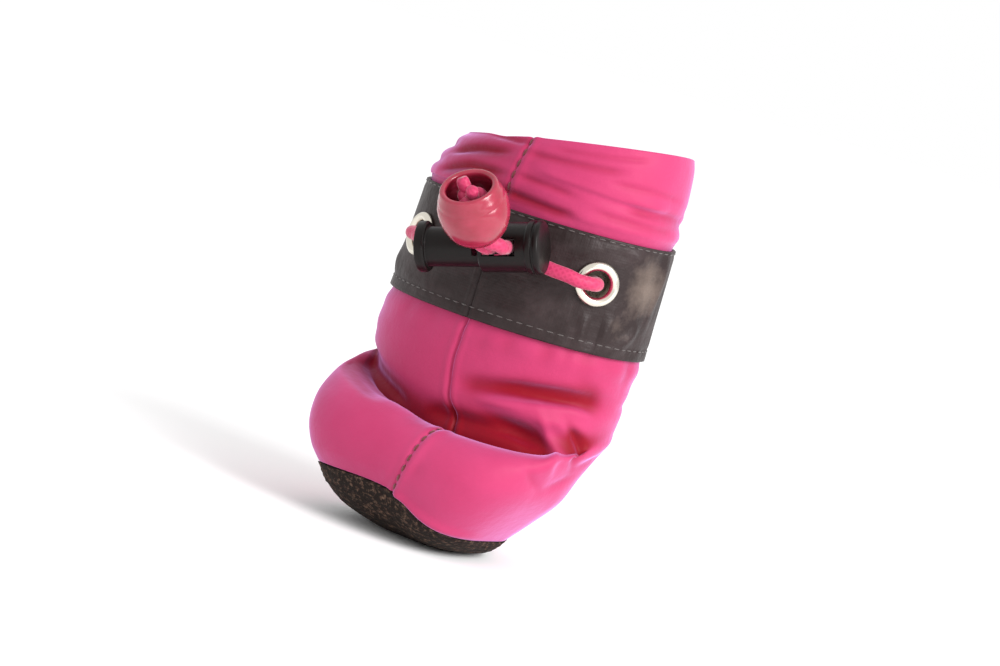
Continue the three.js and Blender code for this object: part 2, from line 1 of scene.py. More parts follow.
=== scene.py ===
# A small drawstring dog boot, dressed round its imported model. Sizes are in millimetres until a mesh
# is finished; Blender's own units are metres. +Z is up and the toe points along -Y.
import math
import random

import bmesh
import bpy
import numpy as np
from mathutils import Matrix, Vector


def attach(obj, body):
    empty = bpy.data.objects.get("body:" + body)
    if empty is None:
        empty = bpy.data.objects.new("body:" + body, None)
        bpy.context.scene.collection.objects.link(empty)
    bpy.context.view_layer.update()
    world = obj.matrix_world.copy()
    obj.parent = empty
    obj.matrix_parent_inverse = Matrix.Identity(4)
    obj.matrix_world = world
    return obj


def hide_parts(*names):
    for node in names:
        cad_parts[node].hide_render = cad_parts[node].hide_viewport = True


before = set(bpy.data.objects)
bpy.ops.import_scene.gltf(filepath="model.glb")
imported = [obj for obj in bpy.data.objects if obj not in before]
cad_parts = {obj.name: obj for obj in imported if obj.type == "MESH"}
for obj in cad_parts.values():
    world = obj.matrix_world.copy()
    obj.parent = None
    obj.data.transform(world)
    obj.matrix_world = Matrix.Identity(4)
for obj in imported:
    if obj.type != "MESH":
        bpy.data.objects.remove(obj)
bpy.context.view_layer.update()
mm = 0.001

# Sizes of the boot, the same as in the model
boot = {
    "height": 76, "toeReach": 28.6, "heelReach": 18.8, "ballWidth": 51, "instepHeight": 26,
    "heelHeight": 28, "shaftWidth": 49, "shaftDepth": 37, "wall": 1.5, "gap": 0.3,
    "collarHeight": 13, "collarLean": 3.6, "bandHeight": 21, "bandThickness": 0.6,
    "soleSideLift": 5.2, "seamStepAt": 0.45, "seamStepSteep": 4.5, "foldSlump": 5, "frontShare": 2.2,
    "soleThickness": 2.2, "soleRimWall": 1.7, "insoleThickness": 1.8,
}
bandTop = boot["height"] - boot["collarHeight"]
bandFoot = bandTop - boot["bandHeight"]

# The upper's sections as shares of the boot's sizes, from the sole's edge to the lip of the fold:
# toe, toeUp, heel, heelUp, half, shift, wide, toeSquare, heelSquare, side, slump
footSections = [
    ("soleEdge", 0.925, 0.17, 0.5, 0.15, 0.7, -0.075, 0.3, 3.3, 1.6, 1, 0),
    ("lowBulge", 0.985, 0.385, 0.62, 0.3, 0.81, -0.055, 0.3, 3.6, 1.65, 0.5, 0),
    ("toeBulge", 1.0, 0.6, 0.71, 0.47, 0.915, -0.036, 0.27, 3.8, 1.7, 0.1, 0.15),
    ("toeTop", 0.955, 0.74, 0.84, 0.66, 0.96, -0.03, 0.24, 3.6, 1.8, 0, 0.4),
    ("toeShoulder", 0.86, 0.81, 0.93, 0.79, 0.965, -0.02, 0.19, 3.2, 1.95, 0, 0.8),
    ("foldLip", 0.755, 0.815, 0.965, 0.87, 0.97, -0.012, 0.13, 2.8, 2.0, 0, 1),
    ("foldInner", 0.665, 0.77, 0.985, 0.94, 0.958, -0.006, 0.08, 2.4, 2.1, 0, 1),
    ("foldFloor", 0.602, 0.7, 0.995, 1.01, 0.945, -0.004, 0.05, 2.2, 2.1, 0, 0.9),
]

# The shaft's sections: zone, frontUp, backUp, front, back, half, shift, slump
zones = {
    "leg": (boot["instepHeight"], bandFoot - boot["instepHeight"], 0),
    "band": (bandFoot, boot["bandHeight"], 0),
    "collar": (bandTop, boot["collarHeight"], boot["collarLean"]),
}
shaftSections = [
    ("foldCeiling", "leg", -0.16, 0.25, 0.945, 1.015, 0.985, -0.008, 0.75),
    ("overFold", "leg", 0.1, 0.42, 0.995, 1.02, 1.015, -0.018, 0.4),
    ("instep", "leg", 0.54, 0.66, 1.02, 1.015, 1.025, -0.02, 0.1),
    ("bandFoot", "band", 0, 0, 1.01, 1.005, 1, -0.003, 0),
    ("bandMiddle", "band", 0.5, 0.5, 1, 1, 0.985, 0.005, 0),
    ("bandHead", "band", 1, 1, 0.985, 0.99, 0.97, 0.012, 0),
    ("collarFoot", "collar", 0.16, 0.16, 1.01, 1.01, 0.985, 0.014, 0),
    ("collarRoll", "collar", 0.5, 0.5, 1.015, 1.02, 0.965, 0.024, 0),
    ("collarNeck", "collar", 0.85, 0.85, 0.955, 0.98, 0.91, 0.044, 0),
    ("collarEdge", "collar", 1, 1, 0.9, 0.955, 0.86, 0.056, 0),
]

# The sole's sections, as in the foot, with the share of its thickness that the inside is raised
soleSections = [
    ("flatEdge", 0.52, 0, 0.29, 0, 0.35, -0.05, 0.22, 2.3, 1.9, 0, 1),
    ("lowTurn", 0.73, 0.045, 0.37, 0.028, 0.52, -0.068, 0.27, 2.6, 1.8, 0.3, 0.85),
    ("highTurn", 0.86, 0.11, 0.44, 0.082, 0.63, -0.074, 0.3, 3.0, 1.7, 0.65, 0.35),
    ("rim", 0.925, 0.17, 0.5, 0.15, 0.7, -0.075, 0.3, 3.3, 1.6, 1, 0),
]

# The model's soft folds: angle, up, reach, spread, slope, depth
mainFolds = [
    (52, 0.425, 27, 0.022, 0.004, 0.034),  # right trough
    (38, 0.335, 16, 0.022, -0.02, 0.022),  # right lower trough
    (52, 0.375, 24, 0.018, -0.006, -0.014),  # the roll between them
    (58, 0.3, 8, 0.04, 0, -0.014),  # upright ridge on the right
    (-66, 0.37, 20, 0.02, 0.02, 0.006),  # pinch on the left
    (165, 0.4, 40, 0.022, 0.01, 0.012),  # heel crease
    (50, 0.915, 38, 0.016, -0.012, 0.012),  # collar gather, right
    (-40, 0.925, 30, 0.016, 0.01, 0.01),  # collar gather, left
]

placeOf = {row[0]: i for i, row in enumerate(footSections + shaftSections)}
lastPlace = len(placeOf) - 1


def footRow(share, rise=0.0):
    toe, toeUp, heel, heelUp, half, shift, wide, toeSquare, heelSquare, side, slump = share[1:12]
    return [
        toe * boot["toeReach"], toeUp * boot["instepHeight"] + rise,
        heel * boot["heelReach"], heelUp * boot["heelHeight"] + rise,
        half * boot["ballWidth"] / 2, shift * boot["ballWidth"], wide * boot["toeReach"],
        toeSquare, heelSquare, side * boot["soleSideLift"], slump * boot["foldSlump"], 0,
    ]


def soleRow(share):
    return footRow(share[:11] + (0,))


def shaftRow(share):
    zone, frontUp, backUp, front, back, half, shift, slump = share[1:]
    base, span, lean = zones[zone]
    return [
        front * boot["shaftDepth"] / 2, base + frontUp * span,
        back * boot["shaftDepth"] / 2, base + backUp * span,
        half * boot["shaftWidth"] / 2, shift * boot["shaftWidth"], 0,
        2.1, 2.1, 0, slump * boot["foldSlump"], lean * frontUp,
    ]


upperRows = np.array([footRow(s, boot["gap"]) for s in footSections] + [shaftRow(s) for s in shaftSections])


def cubicBetween(b, c, rise, nextRise, t):
    # from b to c, leaving and arriving at the given slopes
    return b + rise * t + (3 * (c - b) - 2 * rise - nextRise) * t**2 + (2 * (b - c) + rise + nextRise) * t**3


def blendRows(rows, place):  # the same cubic through four rows as in the model
    place = np.asarray(place, float)
    i = np.minimum(np.floor(place).astype(int), len(rows) - 2)
    t = (place - i)[..., None]
    a, b, c, d = (rows[np.clip(i + k, 0, len(rows) - 1)] for k in (-1, 0, 1, 2))
    rise, nextRise = (c - a) / 2, (d - b) / 2
    return cubicBetween(b, c, rise, nextRise, t)


def sectionPoint(row, angle):
    row = np.moveaxis(np.asarray(row), -1, 0)
    toe, toeUp, heel, heelUp, half, shift, wide, toeSquare, heelSquare, side, slump, lean = row
    forward, sideways = np.cos(angle), np.sin(angle)
    square = np.where(forward > 0, toeSquare, heelSquare)
    reach = np.where(forward > 0, toe - wide, heel + wide)
    bulge = (np.abs(forward) ** square + np.abs(sideways) ** square) ** (-1 / square)
    leftOfSeam = (1 - np.tanh(boot["seamStepSteep"] * (sideways - boot["seamStepAt"]))) / 2
    slant = lean * sideways + side * leftOfSeam * (1 + forward) / 2 + slump * ((1 - sideways) / 2) ** 2
    return np.stack([
        shift + half * bulge * sideways,
        -wide - reach * bulge * forward,
        heelUp + (toeUp - heelUp) * ((1 + forward) / 2) ** boot["frontShare"] + slant,
    ], -1)


def turnedFrom(angle, centre):  # degrees round from a place, either way
    turn = angle - math.radians(centre)
    return np.degrees(np.arctan2(np.sin(turn), np.cos(turn)))


def foldedPoint(place, angle, rows=upperRows):
    point = sectionPoint(blendRows(rows, place), angle)
    depth = 0
    for centre, up, reach, spread, slope, share in mainFolds:
        along = turnedFrom(angle, centre) / reach
        across = (point[..., 2] / boot["height"] - up - slope * along) / spread
        depth = depth + share * boot["ballWidth"] * np.exp(-(along**2) - across**2)
    point[..., 0] -= depth * np.sin(angle)
    point[..., 1] += depth * np.cos(angle)
    return point


def surfacePoint(place, angle, out=0.0):  # the upper's own surface, moved out along its normal
    place, angle = np.broadcast_arrays(np.asarray(place, float), np.asarray(angle, float))
    nudge = 0.02
    across = foldedPoint(place, angle + nudge) - foldedPoint(place, angle - nudge)
    above, below = np.minimum(place + nudge, lastPlace), np.maximum(place - nudge, 0)
    upward = foldedPoint(above, angle) - foldedPoint(below, angle)
    normal = np.cross(across, upward)
    normal /= np.linalg.norm(normal, axis=-1, keepdims=True)
    return foldedPoint(place, angle) + normal * np.asarray(out)[..., None], normal


# The camera comes first, and stands where the photograph's did
cameraSizes = {"azimuth": 30, "elevation": 6, "roll": 16, "distance": 600, "lens": 118, "target": (-2.1, -1.2, 39.3)}


def makeCamera(sizes):
    turn, rise, roll = (math.radians(sizes[k]) for k in ("azimuth", "elevation", "roll"))
    right = Vector((math.cos(turn), math.sin(turn), 0))
    back = Vector((math.sin(turn) * math.cos(rise), -math.cos(turn) * math.cos(rise), math.sin(rise)))
    up = back.cross(right)
    imageRight = right * math.cos(roll) + up * math.sin(roll)
    imageUp = up * math.cos(roll) - right * math.sin(roll)
    camera = bpy.data.objects.new("camera", bpy.data.cameras.new("camera"))
    camera.data.lens = sizes["lens"]
    camera.data.clip_start, camera.data.clip_end = 0.01, 20
    place = Vector(sizes["target"]) * mm + back * sizes["distance"] * mm
    camera.matrix_world = Matrix.Translation(place) @ Matrix((imageRight, imageUp, back)).transposed().to_4x4()
    bpy.context.scene.collection.objects.link(camera)
    bpy.context.scene.camera = camera


makeCamera(cameraSizes)
print("camera made")


# Materials
def hexColour(code):  # an sRGB hex colour as linear red, green, blue and alpha
    parts = [int(code[i:i + 2], 16) / 255 for i in (0, 2, 4)]
    return tuple(p / 12.92 if p <= 0.04045 else ((p + 0.055) / 1.055) ** 2.4 for p in parts) + (1.0,)


def addNode(tree, kind, inputs=None, **settings):
    node = tree.nodes.new("ShaderNode" + kind)
    for name, value in settings.items():
        setattr(node, name, value)
    for name, value in (inputs or {}).items():
        if isinstance(value, bpy.types.NodeSocket):
            tree.links.new(value, node.inputs[name])
        else:
            node.inputs[name].default_value = value
    return node


def newMaterial(name, **values):
    material = bpy.data.materials.new(name)
    material.use_nodes = True
    tree = material.node_tree
    shader = tree.nodes["Principled BSDF"]
    for key, value in values.items():
        shader.inputs[key].default_value = value
    return material, tree, shader


def wovenThreads(tree, place, spacing):
    # threads that cross, a spacing in millimetres apart along the piece's own UV map
    weave = []
    for direction in ("X", "Y"):
        wave = addNode(tree, "TexWave", {
            "Vector": place.outputs["UV"], "Scale": math.pi / 10 / spacing, "Distortion": 0.0}, wave_type="BANDS",
            bands_direction=direction)
        weave.append(wave.outputs["Fac"])
    return addNode(tree, "Math", {0: weave[0], 1: weave[1]}, operation="MULTIPLY")


def makeShellFabric():
    # Polyester softshell, closely woven and calendered: smooth, with a soft satin sheen, and painted shade:
    # deep red painted into its creases for the light the cloth throws on itself there, and on the collar's left
    look = {"pink": "B43B66", "deepPink": "A82F58", "paintedCreaseShade": "7E0416", "sheen": "E4AEF4", "mottle": 24,
            "thread": 0.42, "crumple": 7.0}
    material, tree, shader = newMaterial("softshell fabric", **{
        "Roughness": 0.5, "Sheen Weight": 0.85, "Sheen Roughness": 0.4,
        "Sheen Tint": hexColour(look["sheen"]), "Specular IOR Level": 0.1})
    place = addNode(tree, "TexCoord")
    mottle = addNode(tree, "TexNoise", {
        "Vector": place.outputs["Object"], "Scale": 1000 / look["mottle"], "Detail": 3.0, "Roughness": 0.55})
    span = addNode(tree, "MapRange", {"Value": mottle.outputs["Fac"], "From Min": 0.3, "From Max": 0.72})
    colour = addNode(tree, "Mix", {
        0: span.outputs[0], 6: hexColour(look["deepPink"]), 7: hexColour(look["pink"])}, data_type="RGBA")
    # painted shade: this value darkens the pink towards deep red in the creases and on the collar's left
    paintedShade = addNode(tree, "Attribute", attribute_name="paintedShade")
    colourWithPaintedShade = addNode(tree, "Mix", {
        0: paintedShade.outputs["Fac"], 6: colour.outputs[2], 7: hexColour(look["paintedCreaseShade"])}, data_type="RGBA")
    tree.links.new(colourWithPaintedShade.outputs[2], shader.inputs["Base Color"])
    # the real threads are 0.2 mm apart, too fine to show, so they are drawn 0.42 mm apart
    threads = wovenThreads(tree, place, look["thread"])
    crumple = addNode(tree, "TexNoise", {
        "Vector": place.outputs["Object"], "Scale": 1000 / look["crumple"], "Detail": 4.0, "Roughness": 0.6})
    soft = addNode(tree, "Bump", {"Strength": 0.4, "Distance": 0.0006, "Height": crumple.outputs["Fac"]})
    fine = addNode(tree, "Bump", {
        "Strength": 0.12, "Distance": 0.00005, "Height": threads.outputs[0], "Normal": soft.outputs[0]})
    tree.links.new(fine.outputs[0], shader.inputs["Normal"])
    return material


def makeReflectiveTape():
    # Retroreflective tape, glass beads on a woven backing: dark and satiny, with a painted beige highlight
    # where its crumpled right side throws the light back
    look = {"dark": "231616", "rubbed": "3A2D2E", "paintedHighlight": "665850", "rub": 9, "thread": 0.5, "crumple": 5.0}
    material, tree, shader = newMaterial("reflective tape", **{"Metallic": 0.1, "Specular IOR Level": 0.3})
    place = addNode(tree, "TexCoord")
    rub = addNode(tree, "TexNoise", {
        "Vector": place.outputs["Object"], "Scale": 1000 / look["rub"], "Detail": 5.0, "Roughness": 0.65})
    span = addNode(tree, "MapRange", {"Value": rub.outputs["Fac"], "From Min": 0.45, "From Max": 0.75})
    colour = addNode(tree, "Mix", {
        0: span.outputs[0], 6: hexColour(look["dark"]), 7: hexColour(look["rubbed"])}, data_type="RGBA")
    # painted highlight: a beige patch laid over the tape where its crumpled side catches the light
    paintedHighlight = addNode(tree, "Attribute", attribute_name="paintedHighlight")
    edge = addNode(tree, "Math", {0: rub.outputs["Fac"], 1: paintedHighlight.outputs["Fac"]}, operation="ADD")
    patch = addNode(tree, "MapRange", {"Value": edge.outputs[0], "From Min": 0.75, "From Max": 1.2})
    beige = addNode(tree, "Mix", {
        0: patch.outputs[0], 6: colour.outputs[2], 7: hexColour(look["paintedHighlight"])}, data_type="RGBA")
    tree.links.new(beige.outputs[2], shader.inputs["Base Color"])
    gloss = addNode(tree, "MapRange", {"Value": rub.outputs["Fac"], "To Min": 0.38, "To Max": 0.56})
    tree.links.new(gloss.outputs[0], shader.inputs["Roughness"])
    threads = wovenThreads(tree, place, look["thread"])
    crumple = addNode(tree, "TexNoise", {
        "Vector": place.outputs["Object"], "Scale": 1000 / look["crumple"], "Detail": 3.0, "Roughness": 0.5})
    soft = addNode(tree, "Bump", {"Strength": 0.8, "Distance": 0.0008, "Height": crumple.outputs["Fac"]})
    fine = addNode(tree, "Bump", {
        "Strength": 0.15, "Distance": 0.00008, "Height": threads.outputs[0], "Normal": soft.outputs[0]})
    tree.links.new(fine.outputs[0], shader.inputs["Normal"])
    return material


def makeSoleRubber():
    # Rubberised fabric, coated and embossed: brown-black and rough, with dusty brown specks
    look = {"black": "1C130F", "dust": "6A5244", "grain": 0.9}
    material, tree, shader = newMaterial("rubberised sole fabric", **{"Roughness": 0.85, "Specular IOR Level": 0.2})
    place = addNode(tree, "TexCoord")
    grain = addNode(tree, "TexNoise", {
        "Vector": place.outputs["Object"], "Scale": 1000 / look["grain"], "Detail": 3.0, "Roughness": 0.7})
    speck = addNode(tree, "MapRange", {"Value": grain.outputs["Fac"], "From Min": 0.52, "From Max": 0.72})
    colour = addNode(tree, "Mix", {
        0: speck.outputs[0], 6: hexColour(look["black"]), 7: hexColour(look["dust"])}, data_type="RGBA")
    tree.links.new(colour.outputs[2], shader.inputs["Base Color"])
    rough = addNode(tree, "Bump", {"Strength": 0.9, "Distance": 0.0004, "Height": grain.outputs["Fac"]})
    tree.links.new(rough.outputs[0], shader.inputs["Normal"])
    return material


def makeFleece():
    # Polyester sherpa fleece, knitted and brushed: dull beige-grey curls
    look = {"light": "B8AB9A", "dark": "7C6F62", "curl": 1.6}
    material, tree, shader = newMaterial("sherpa fleece", **{
        "Roughness": 0.95, "Sheen Weight": 0.4, "Sheen Roughness": 0.6, "Specular IOR Level": 0.15})
    place = addNode(tree, "TexCoord")
    curl = addNode(tree, "TexNoise", {
        "Vector": place.outputs["Object"], "Scale": 1000 / look["curl"], "Detail": 4.0, "Roughness": 0.7,
        "Distortion": 1.2})
    colour = addNode(tree, "Mix", {
        0: curl.outputs["Fac"], 6: hexColour(look["dark"]), 7: hexColour(look["light"])}, data_type="RGBA")
    tree.links.new(colour.outputs[2], shader.inputs["Base Color"])
    lift = addNode(tree, "Bump", {"Strength": 1.0, "Distance": 0.0008, "Height": curl.outputs["Fac"]})
    tree.links.new(lift.outputs[0], shader.inputs["Normal"])
    return material


def makeNickel():
    # Nickel-plated brass, stamped and rolled: bright, with faint rubbing marks
    look = {"nickel": "D9D3C6", "rub": 1.2}
    material, tree, shader = newMaterial("nickel plate", **{"Metallic": 1.0, "Base Color": hexColour(look["nickel"])})
    place = addNode(tree, "TexCoord")
    rub = addNode(tree, "TexNoise", {"Vector": place.outputs["Object"], "Scale": 1000 / look["rub"], "Detail": 4.0})
    gloss = addNode(tree, "MapRange", {"Value": rub.outputs["Fac"], "To Min": 0.1, "To Max": 0.3})
    tree.links.new(gloss.outputs[0], shader.inputs["Roughness"])
    marks = addNode(tree, "Bump", {"Strength": 0.2, "Distance": 0.0001, "Height": rub.outputs["Fac"]})
    tree.links.new(marks.outputs[0], shader.inputs["Normal"])
    return material


def makeElasticCord():
    # Elastic cord, a rubber core in a braided polyester sheath: a fine diagonal braid, soft sheen
    look = {"pink": "BA305C", "dark": "AC2650", "braid": 0.8}
    material, tree, shader = newMaterial("braided elastic cord", **{
        "Roughness": 0.5, "Sheen Weight": 0.3, "Sheen Roughness": 0.4, "Specular IOR Level": 0.3})
    place = addNode(tree, "TexCoord")
    strands = []
    for turn in (45, -45):
        turned = addNode(tree, "Mapping", {"Vector": place.outputs["UV"], "Rotation": (0, 0, math.radians(turn))})
        wave = addNode(tree, "TexWave", {
            "Vector": turned.outputs[0], "Scale": math.pi / 10 / look["braid"], "Distortion": 0.0},
            wave_type="BANDS", bands_direction="X")
        strands.append(wave.outputs["Fac"])
    braid = addNode(tree, "Math", {0: strands[0], 1: strands[1]}, operation="MAXIMUM")
    colour = addNode(tree, "Mix", {
        0: braid.outputs[0], 6: hexColour(look["dark"]), 7: hexColour(look["pink"])}, data_type="RGBA")
    tree.links.new(colour.outputs[2], shader.inputs["Base Color"])
    lift = addNode(tree, "Bump", {"Strength": 0.3, "Distance": 0.00012, "Height": braid.outputs[0]})
    tree.links.new(lift.outputs[0], shader.inputs["Normal"])
    return material


def makeLockPlastic():
    # Acetal, injection moulded: black, satin, with a faint spark-eroded grain
    look = {"black": "0E0807", "grain": 0.5}
    material, tree, shader = newMaterial("black acetal", **{
        "Base Color": hexColour(look["black"]), "Specular IOR Level": 0.22, "IOR": 1.48})
    place = addNode(tree, "TexCoord")
    grain = addNode(tree, "TexNoise", {"Vector": place.outputs["Object"], "Scale": 1000 / look["grain"], "Detail": 3.0})
    gloss = addNode(tree, "MapRange", {"Value": grain.outputs["Fac"], "To Min": 0.28, "To Max": 0.48})
    tree.links.new(gloss.outputs[0], shader.inputs["Roughness"])
    lift = addNode(tree, "Bump", {"Strength": 0.25, "Distance": 0.0001, "Height": grain.outputs["Fac"]})
    tree.links.new(lift.outputs[0], shader.inputs["Normal"])
    return material


def makeBellPlastic():
    # Polypropylene, injection moulded: pink, glossy, and a little light comes through it
    look = {"deep": "7C0A20", "pink": "A4304A", "flow": 3}
    material, tree, shader = newMaterial("pink polypropylene", **{
        "IOR": 1.49, "Subsurface Weight": 0.1,
        "Subsurface Radius": (0.004, 0.001, 0.0015), "Subsurface Scale": 0.5, "Coat Weight": 0.15})
    place = addNode(tree, "TexCoord")
    flow = addNode(tree, "TexNoise", {"Vector": place.outputs["Object"], "Scale": 1000 / look["flow"], "Detail": 3.0})
    colour = addNode(tree, "Mix", {
        0: flow.outputs["Fac"], 6: hexColour(look["deep"]), 7: hexColour(look["pink"])}, data_type="RGBA")
    tree.links.new(colour.outputs[2], shader.inputs["Base Color"])
    gloss = addNode(tree, "MapRange", {"Value": flow.outputs["Fac"], "To Min": 0.12, "To Max": 0.3})
    tree.links.new(gloss.outputs[0], shader.inputs["Roughness"])
    lift = addNode(tree, "Bump", {"Strength": 0.15, "Distance": 0.0003, "Height": flow.outputs["Fac"]})
    tree.links.new(lift.outputs[0], shader.inputs["Normal"])
    return material


def makeThread(name, light, dark, twistLength=0.4):
    # Polyester sewing thread, twisted: two tones along its twist
    material, tree, shader = newMaterial(name, **{"Roughness": 0.6, "Sheen Weight": 0.3})
    place = addNode(tree, "TexCoord")
    twist = addNode(tree, "TexNoise", {"Vector": place.outputs["Object"], "Scale": 1000 / twistLength, "Detail": 2.0})
    colour = addNode(tree, "Mix", {0: twist.outputs["Fac"], 6: hexColour(dark), 7: hexColour(light)}, data_type="RGBA")
    tree.links.new(colour.outputs[2], shader.inputs["Base Color"])
    lift = addNode(tree, "Bump", {"Strength": 0.4, "Distance": 0.0001, "Height": twist.outputs["Fac"]})
    tree.links.new(lift.outputs[0], shader.inputs["Normal"])
    return material


shellFabric = makeShellFabric()
reflectiveTape = makeReflectiveTape()
soleRubber = makeSoleRubber()
fleece = makeFleece()
nickel = makeNickel()
elasticCord = makeElasticCord()
lockPlastic = makeLockPlastic()
bellPlastic = makeBellPlastic()
greyThread = makeThread("grey sewing thread", "544A48", "382F2E")
redThread = makeThread("dark red sewing thread", "6E0618", "520410")
print("materials made")


# Making pieces
def addPiece(name, mesh, material, body="shoe"):
    data = bpy.data.meshes.new(name)
    mesh.to_mesh(data)
    mesh.free()
    data.shade_smooth()
    data.materials.append(material)
    piece = bpy.data.objects.new(name, data)
    bpy.context.scene.collection.objects.link(piece)
    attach(piece, body)
    return piece


def ringMesh(points, closed=False, capped=False, shade=None):
    # rings[row][column] of points in millimetres, extruded row by row from a circle; shade is the
    # name of a value kept at each point for the material, and its table
    rows, columns = points.shape[:2]
    mesh = bmesh.new()
    rowOf = mesh.verts.layers.int.new("row")
    columnOf = mesh.verts.layers.int.new("column")
    shadeOf = mesh.verts.layers.float.new(shade[0]) if shade else None
    bmesh.ops.create_circle(mesh, segments=columns, radius=1.0)
    mesh.verts.ensure_lookup_table()
    for i, vert in enumerate(mesh.verts):
        vert[columnOf] = i
    firstEdges = edges = list(mesh.edges)
    for row in range(1, rows):
        made = bmesh.ops.extrude_edge_only(mesh, edges=edges)["geom"]
        edges = [e for e in made if isinstance(e, bmesh.types.BMEdge)]
        for vert in (v for v in made if isinstance(v, bmesh.types.BMVert)):
            vert[rowOf] = row
    if closed:
        bmesh.ops.bridge_loops(mesh, edges=firstEdges + edges)
    if capped:
        for ring in (firstEdges, edges):
            face = bmesh.ops.contextual_create(mesh, geom=ring)["faces"]
            bmesh.ops.poke(mesh, faces=face)
    middles = [vert for vert in mesh.verts if capped and len(vert.link_edges) == columns]
    for vert in mesh.verts:
        vert.co = Vector(points[vert[rowOf], vert[columnOf]]) * mm
        if shade:
            vert[shadeOf] = shade[1][vert[rowOf], vert[columnOf]]
    for vert in middles:  # a cap's middle
        vert.co = sum((edge.other_vert(vert).co for edge in vert.link_edges), Vector()) / columns
    along = np.linalg.norm(np.diff(points, axis=0), axis=-1).mean(1)
    height = np.concatenate([[0], np.cumsum(along), [np.sum(along) + 1]])
    around = np.linalg.norm(np.roll(points, -1, axis=1) - points, axis=-1).mean(0)
    width = np.concatenate([[0], np.cumsum(around)])
    uv = mesh.loops.layers.uv.new("UVMap")
    for face in mesh.faces:
        wraps = max(v[columnOf] for v in face.verts) - min(v[columnOf] for v in face.verts) > 1
        joins = closed and max(v[rowOf] for v in face.verts) - min(v[rowOf] for v in face.verts) > 1
        for corner in face.loops:
            column, row = corner.vert[columnOf], corner.vert[rowOf]
            u = width[columns] if wraps and column == 0 else width[column]
            v = height[rows] if joins and row == 0 else height[row]
            corner[uv].uv = (u, v)
    return mesh


def outward(mesh):
    bmesh.ops.recalc_face_normals(mesh, faces=mesh.faces)
    return mesh


def spunMesh(profile, along, origin, segments=64):
    # a closed profile of (radius, height) pairs spun round an axis
    mesh = bmesh.new()
    verts = [mesh.verts.new((radius * mm, 0, height * mm)) for radius, height in profile]
    edges = [mesh.edges.new(pair) for pair in zip(verts, verts[1:])]
    if profile[0][0] > 0:
        edges.append(mesh.edges.new((verts[-1], verts[0])))
    bmesh.ops.spin(mesh, geom=verts + edges, cent=(0, 0, 0), axis=(0, 0, 1), angle=2 * math.pi, steps=segments,
        use_merge=True)
    bmesh.ops.remove_doubles(mesh, verts=mesh.verts, dist=1e-7)
    turn = Vector((0, 0, 1)).rotation_difference(Vector(along)).to_matrix().to_4x4()
    bmesh.ops.transform(mesh, matrix=Matrix.Translation(Vector(origin) * mm) @ turn, verts=mesh.verts)
    return outward(mesh)


def cutAway(piece, cutter):
    # takes the cutter's shape out of a piece, and removes the cutter
    difference = piece.modifiers.new("cut", "BOOLEAN")
    difference.operation, difference.object, difference.solver = "DIFFERENCE", cutter, "EXACT"
    bpy.context.view_layer.update()
    made = bpy.data.meshes.new_from_object(piece.evaluated_get(bpy.context.evaluated_depsgraph_get()))
    piece.modifiers.clear()
    old, name = piece.data, piece.data.name
    piece.data = made
    bpy.data.meshes.remove(old)
    made.name = name
    bpy.data.objects.remove(cutter)


def cutterPiece(mesh):
    data = bpy.data.meshes.new("cutter")
    mesh.to_mesh(data)
    mesh.free()
    cutter = bpy.data.objects.new("cutter", data)
    bpy.context.scene.collection.objects.link(cutter)
    return cutter


def catmullPath(points, step=0.35):
    # an even walk along the model's own centripetal curve through its points
    p = [np.array(q, float) for q in points]
    p = [2 * p[0] - p[1], *p, 2 * p[-1] - p[-2]]
    walked = []
    for a, b, c, d in zip(p, p[1:], p[2:], p[3:]):
        ta, tb, tc = (max(np.linalg.norm(q - r), 1e-6) ** 0.5 for q, r in ((b, a), (c, b), (d, c)))
        rise = ((b - a) / ta - (c - a) / (ta + tb) + (c - b) / tb) * tb
        nextRise = ((c - b) / tb - (d - b) / (tb + tc) + (d - c) / tc) * tb
        for t in np.linspace(0, 1, 24, endpoint=False):
            walked.append(cubicBetween(b, c, rise, nextRise, t))
    walked.append(p[-2])
    walked = np.array(walked)
    length = np.concatenate([[0], np.cumsum(np.linalg.norm(np.diff(walked, axis=0), axis=1))])
    even = np.linspace(0, length[-1], max(int(length[-1] / step), 8) + 1)
    return np.stack([np.interp(even, length, walked[:, i]) for i in range(3)], -1), length[-1]


def tubeRings(path, radius, sides=20, rounded=0.35):
    # rings square to a path, carried along it without twist, their ends a little rounded
    tangents = np.gradient(path, axis=0)
    tangents /= np.linalg.norm(tangents, axis=1, keepdims=True)
    side = np.cross(tangents[0], (0.3, 0.2, 1.0))
    side /= np.linalg.norm(side)
    turns = 2 * np.pi * np.arange(sides) / sides
    rings = []
    for i, (point, tangent) in enumerate(zip(path, tangents)):
        side = side - tangent * side.dot(tangent)
        side /= np.linalg.norm(side)
        other = np.cross(tangent, side)
        fromEnd = min(i, len(path) - 1 - i)
        size = radius * (1 - rounded * (0.35 ** fromEnd) if fromEnd < 3 else 1)
        rings.append(point + size * (np.cos(turns)[:, None] * side + np.sin(turns)[:, None] * other))
    return np.array(rings)


def scatterMesh(spots, makeOne):
    # many copies of one small shape, each set by its own matrix
    mesh = bmesh.new()
    for matrix in spots:
        made = makeOne(mesh)
        bmesh.ops.transform(mesh, matrix=matrix, verts=made)
    return mesh


def standing(point, along, out, size):
    # a matrix that lays a shape's X along a path and its Z out of the surface
    along, out = Vector(along).normalized(), Vector(out).normalized()
    side = out.cross(along).normalized()
    turn = Matrix((along, side, along.cross(side))).transposed()
    return Matrix.Translation(Vector(point) * mm) @ (turn @ Matrix.Diagonal(Vector(size) * mm)).to_4x4()


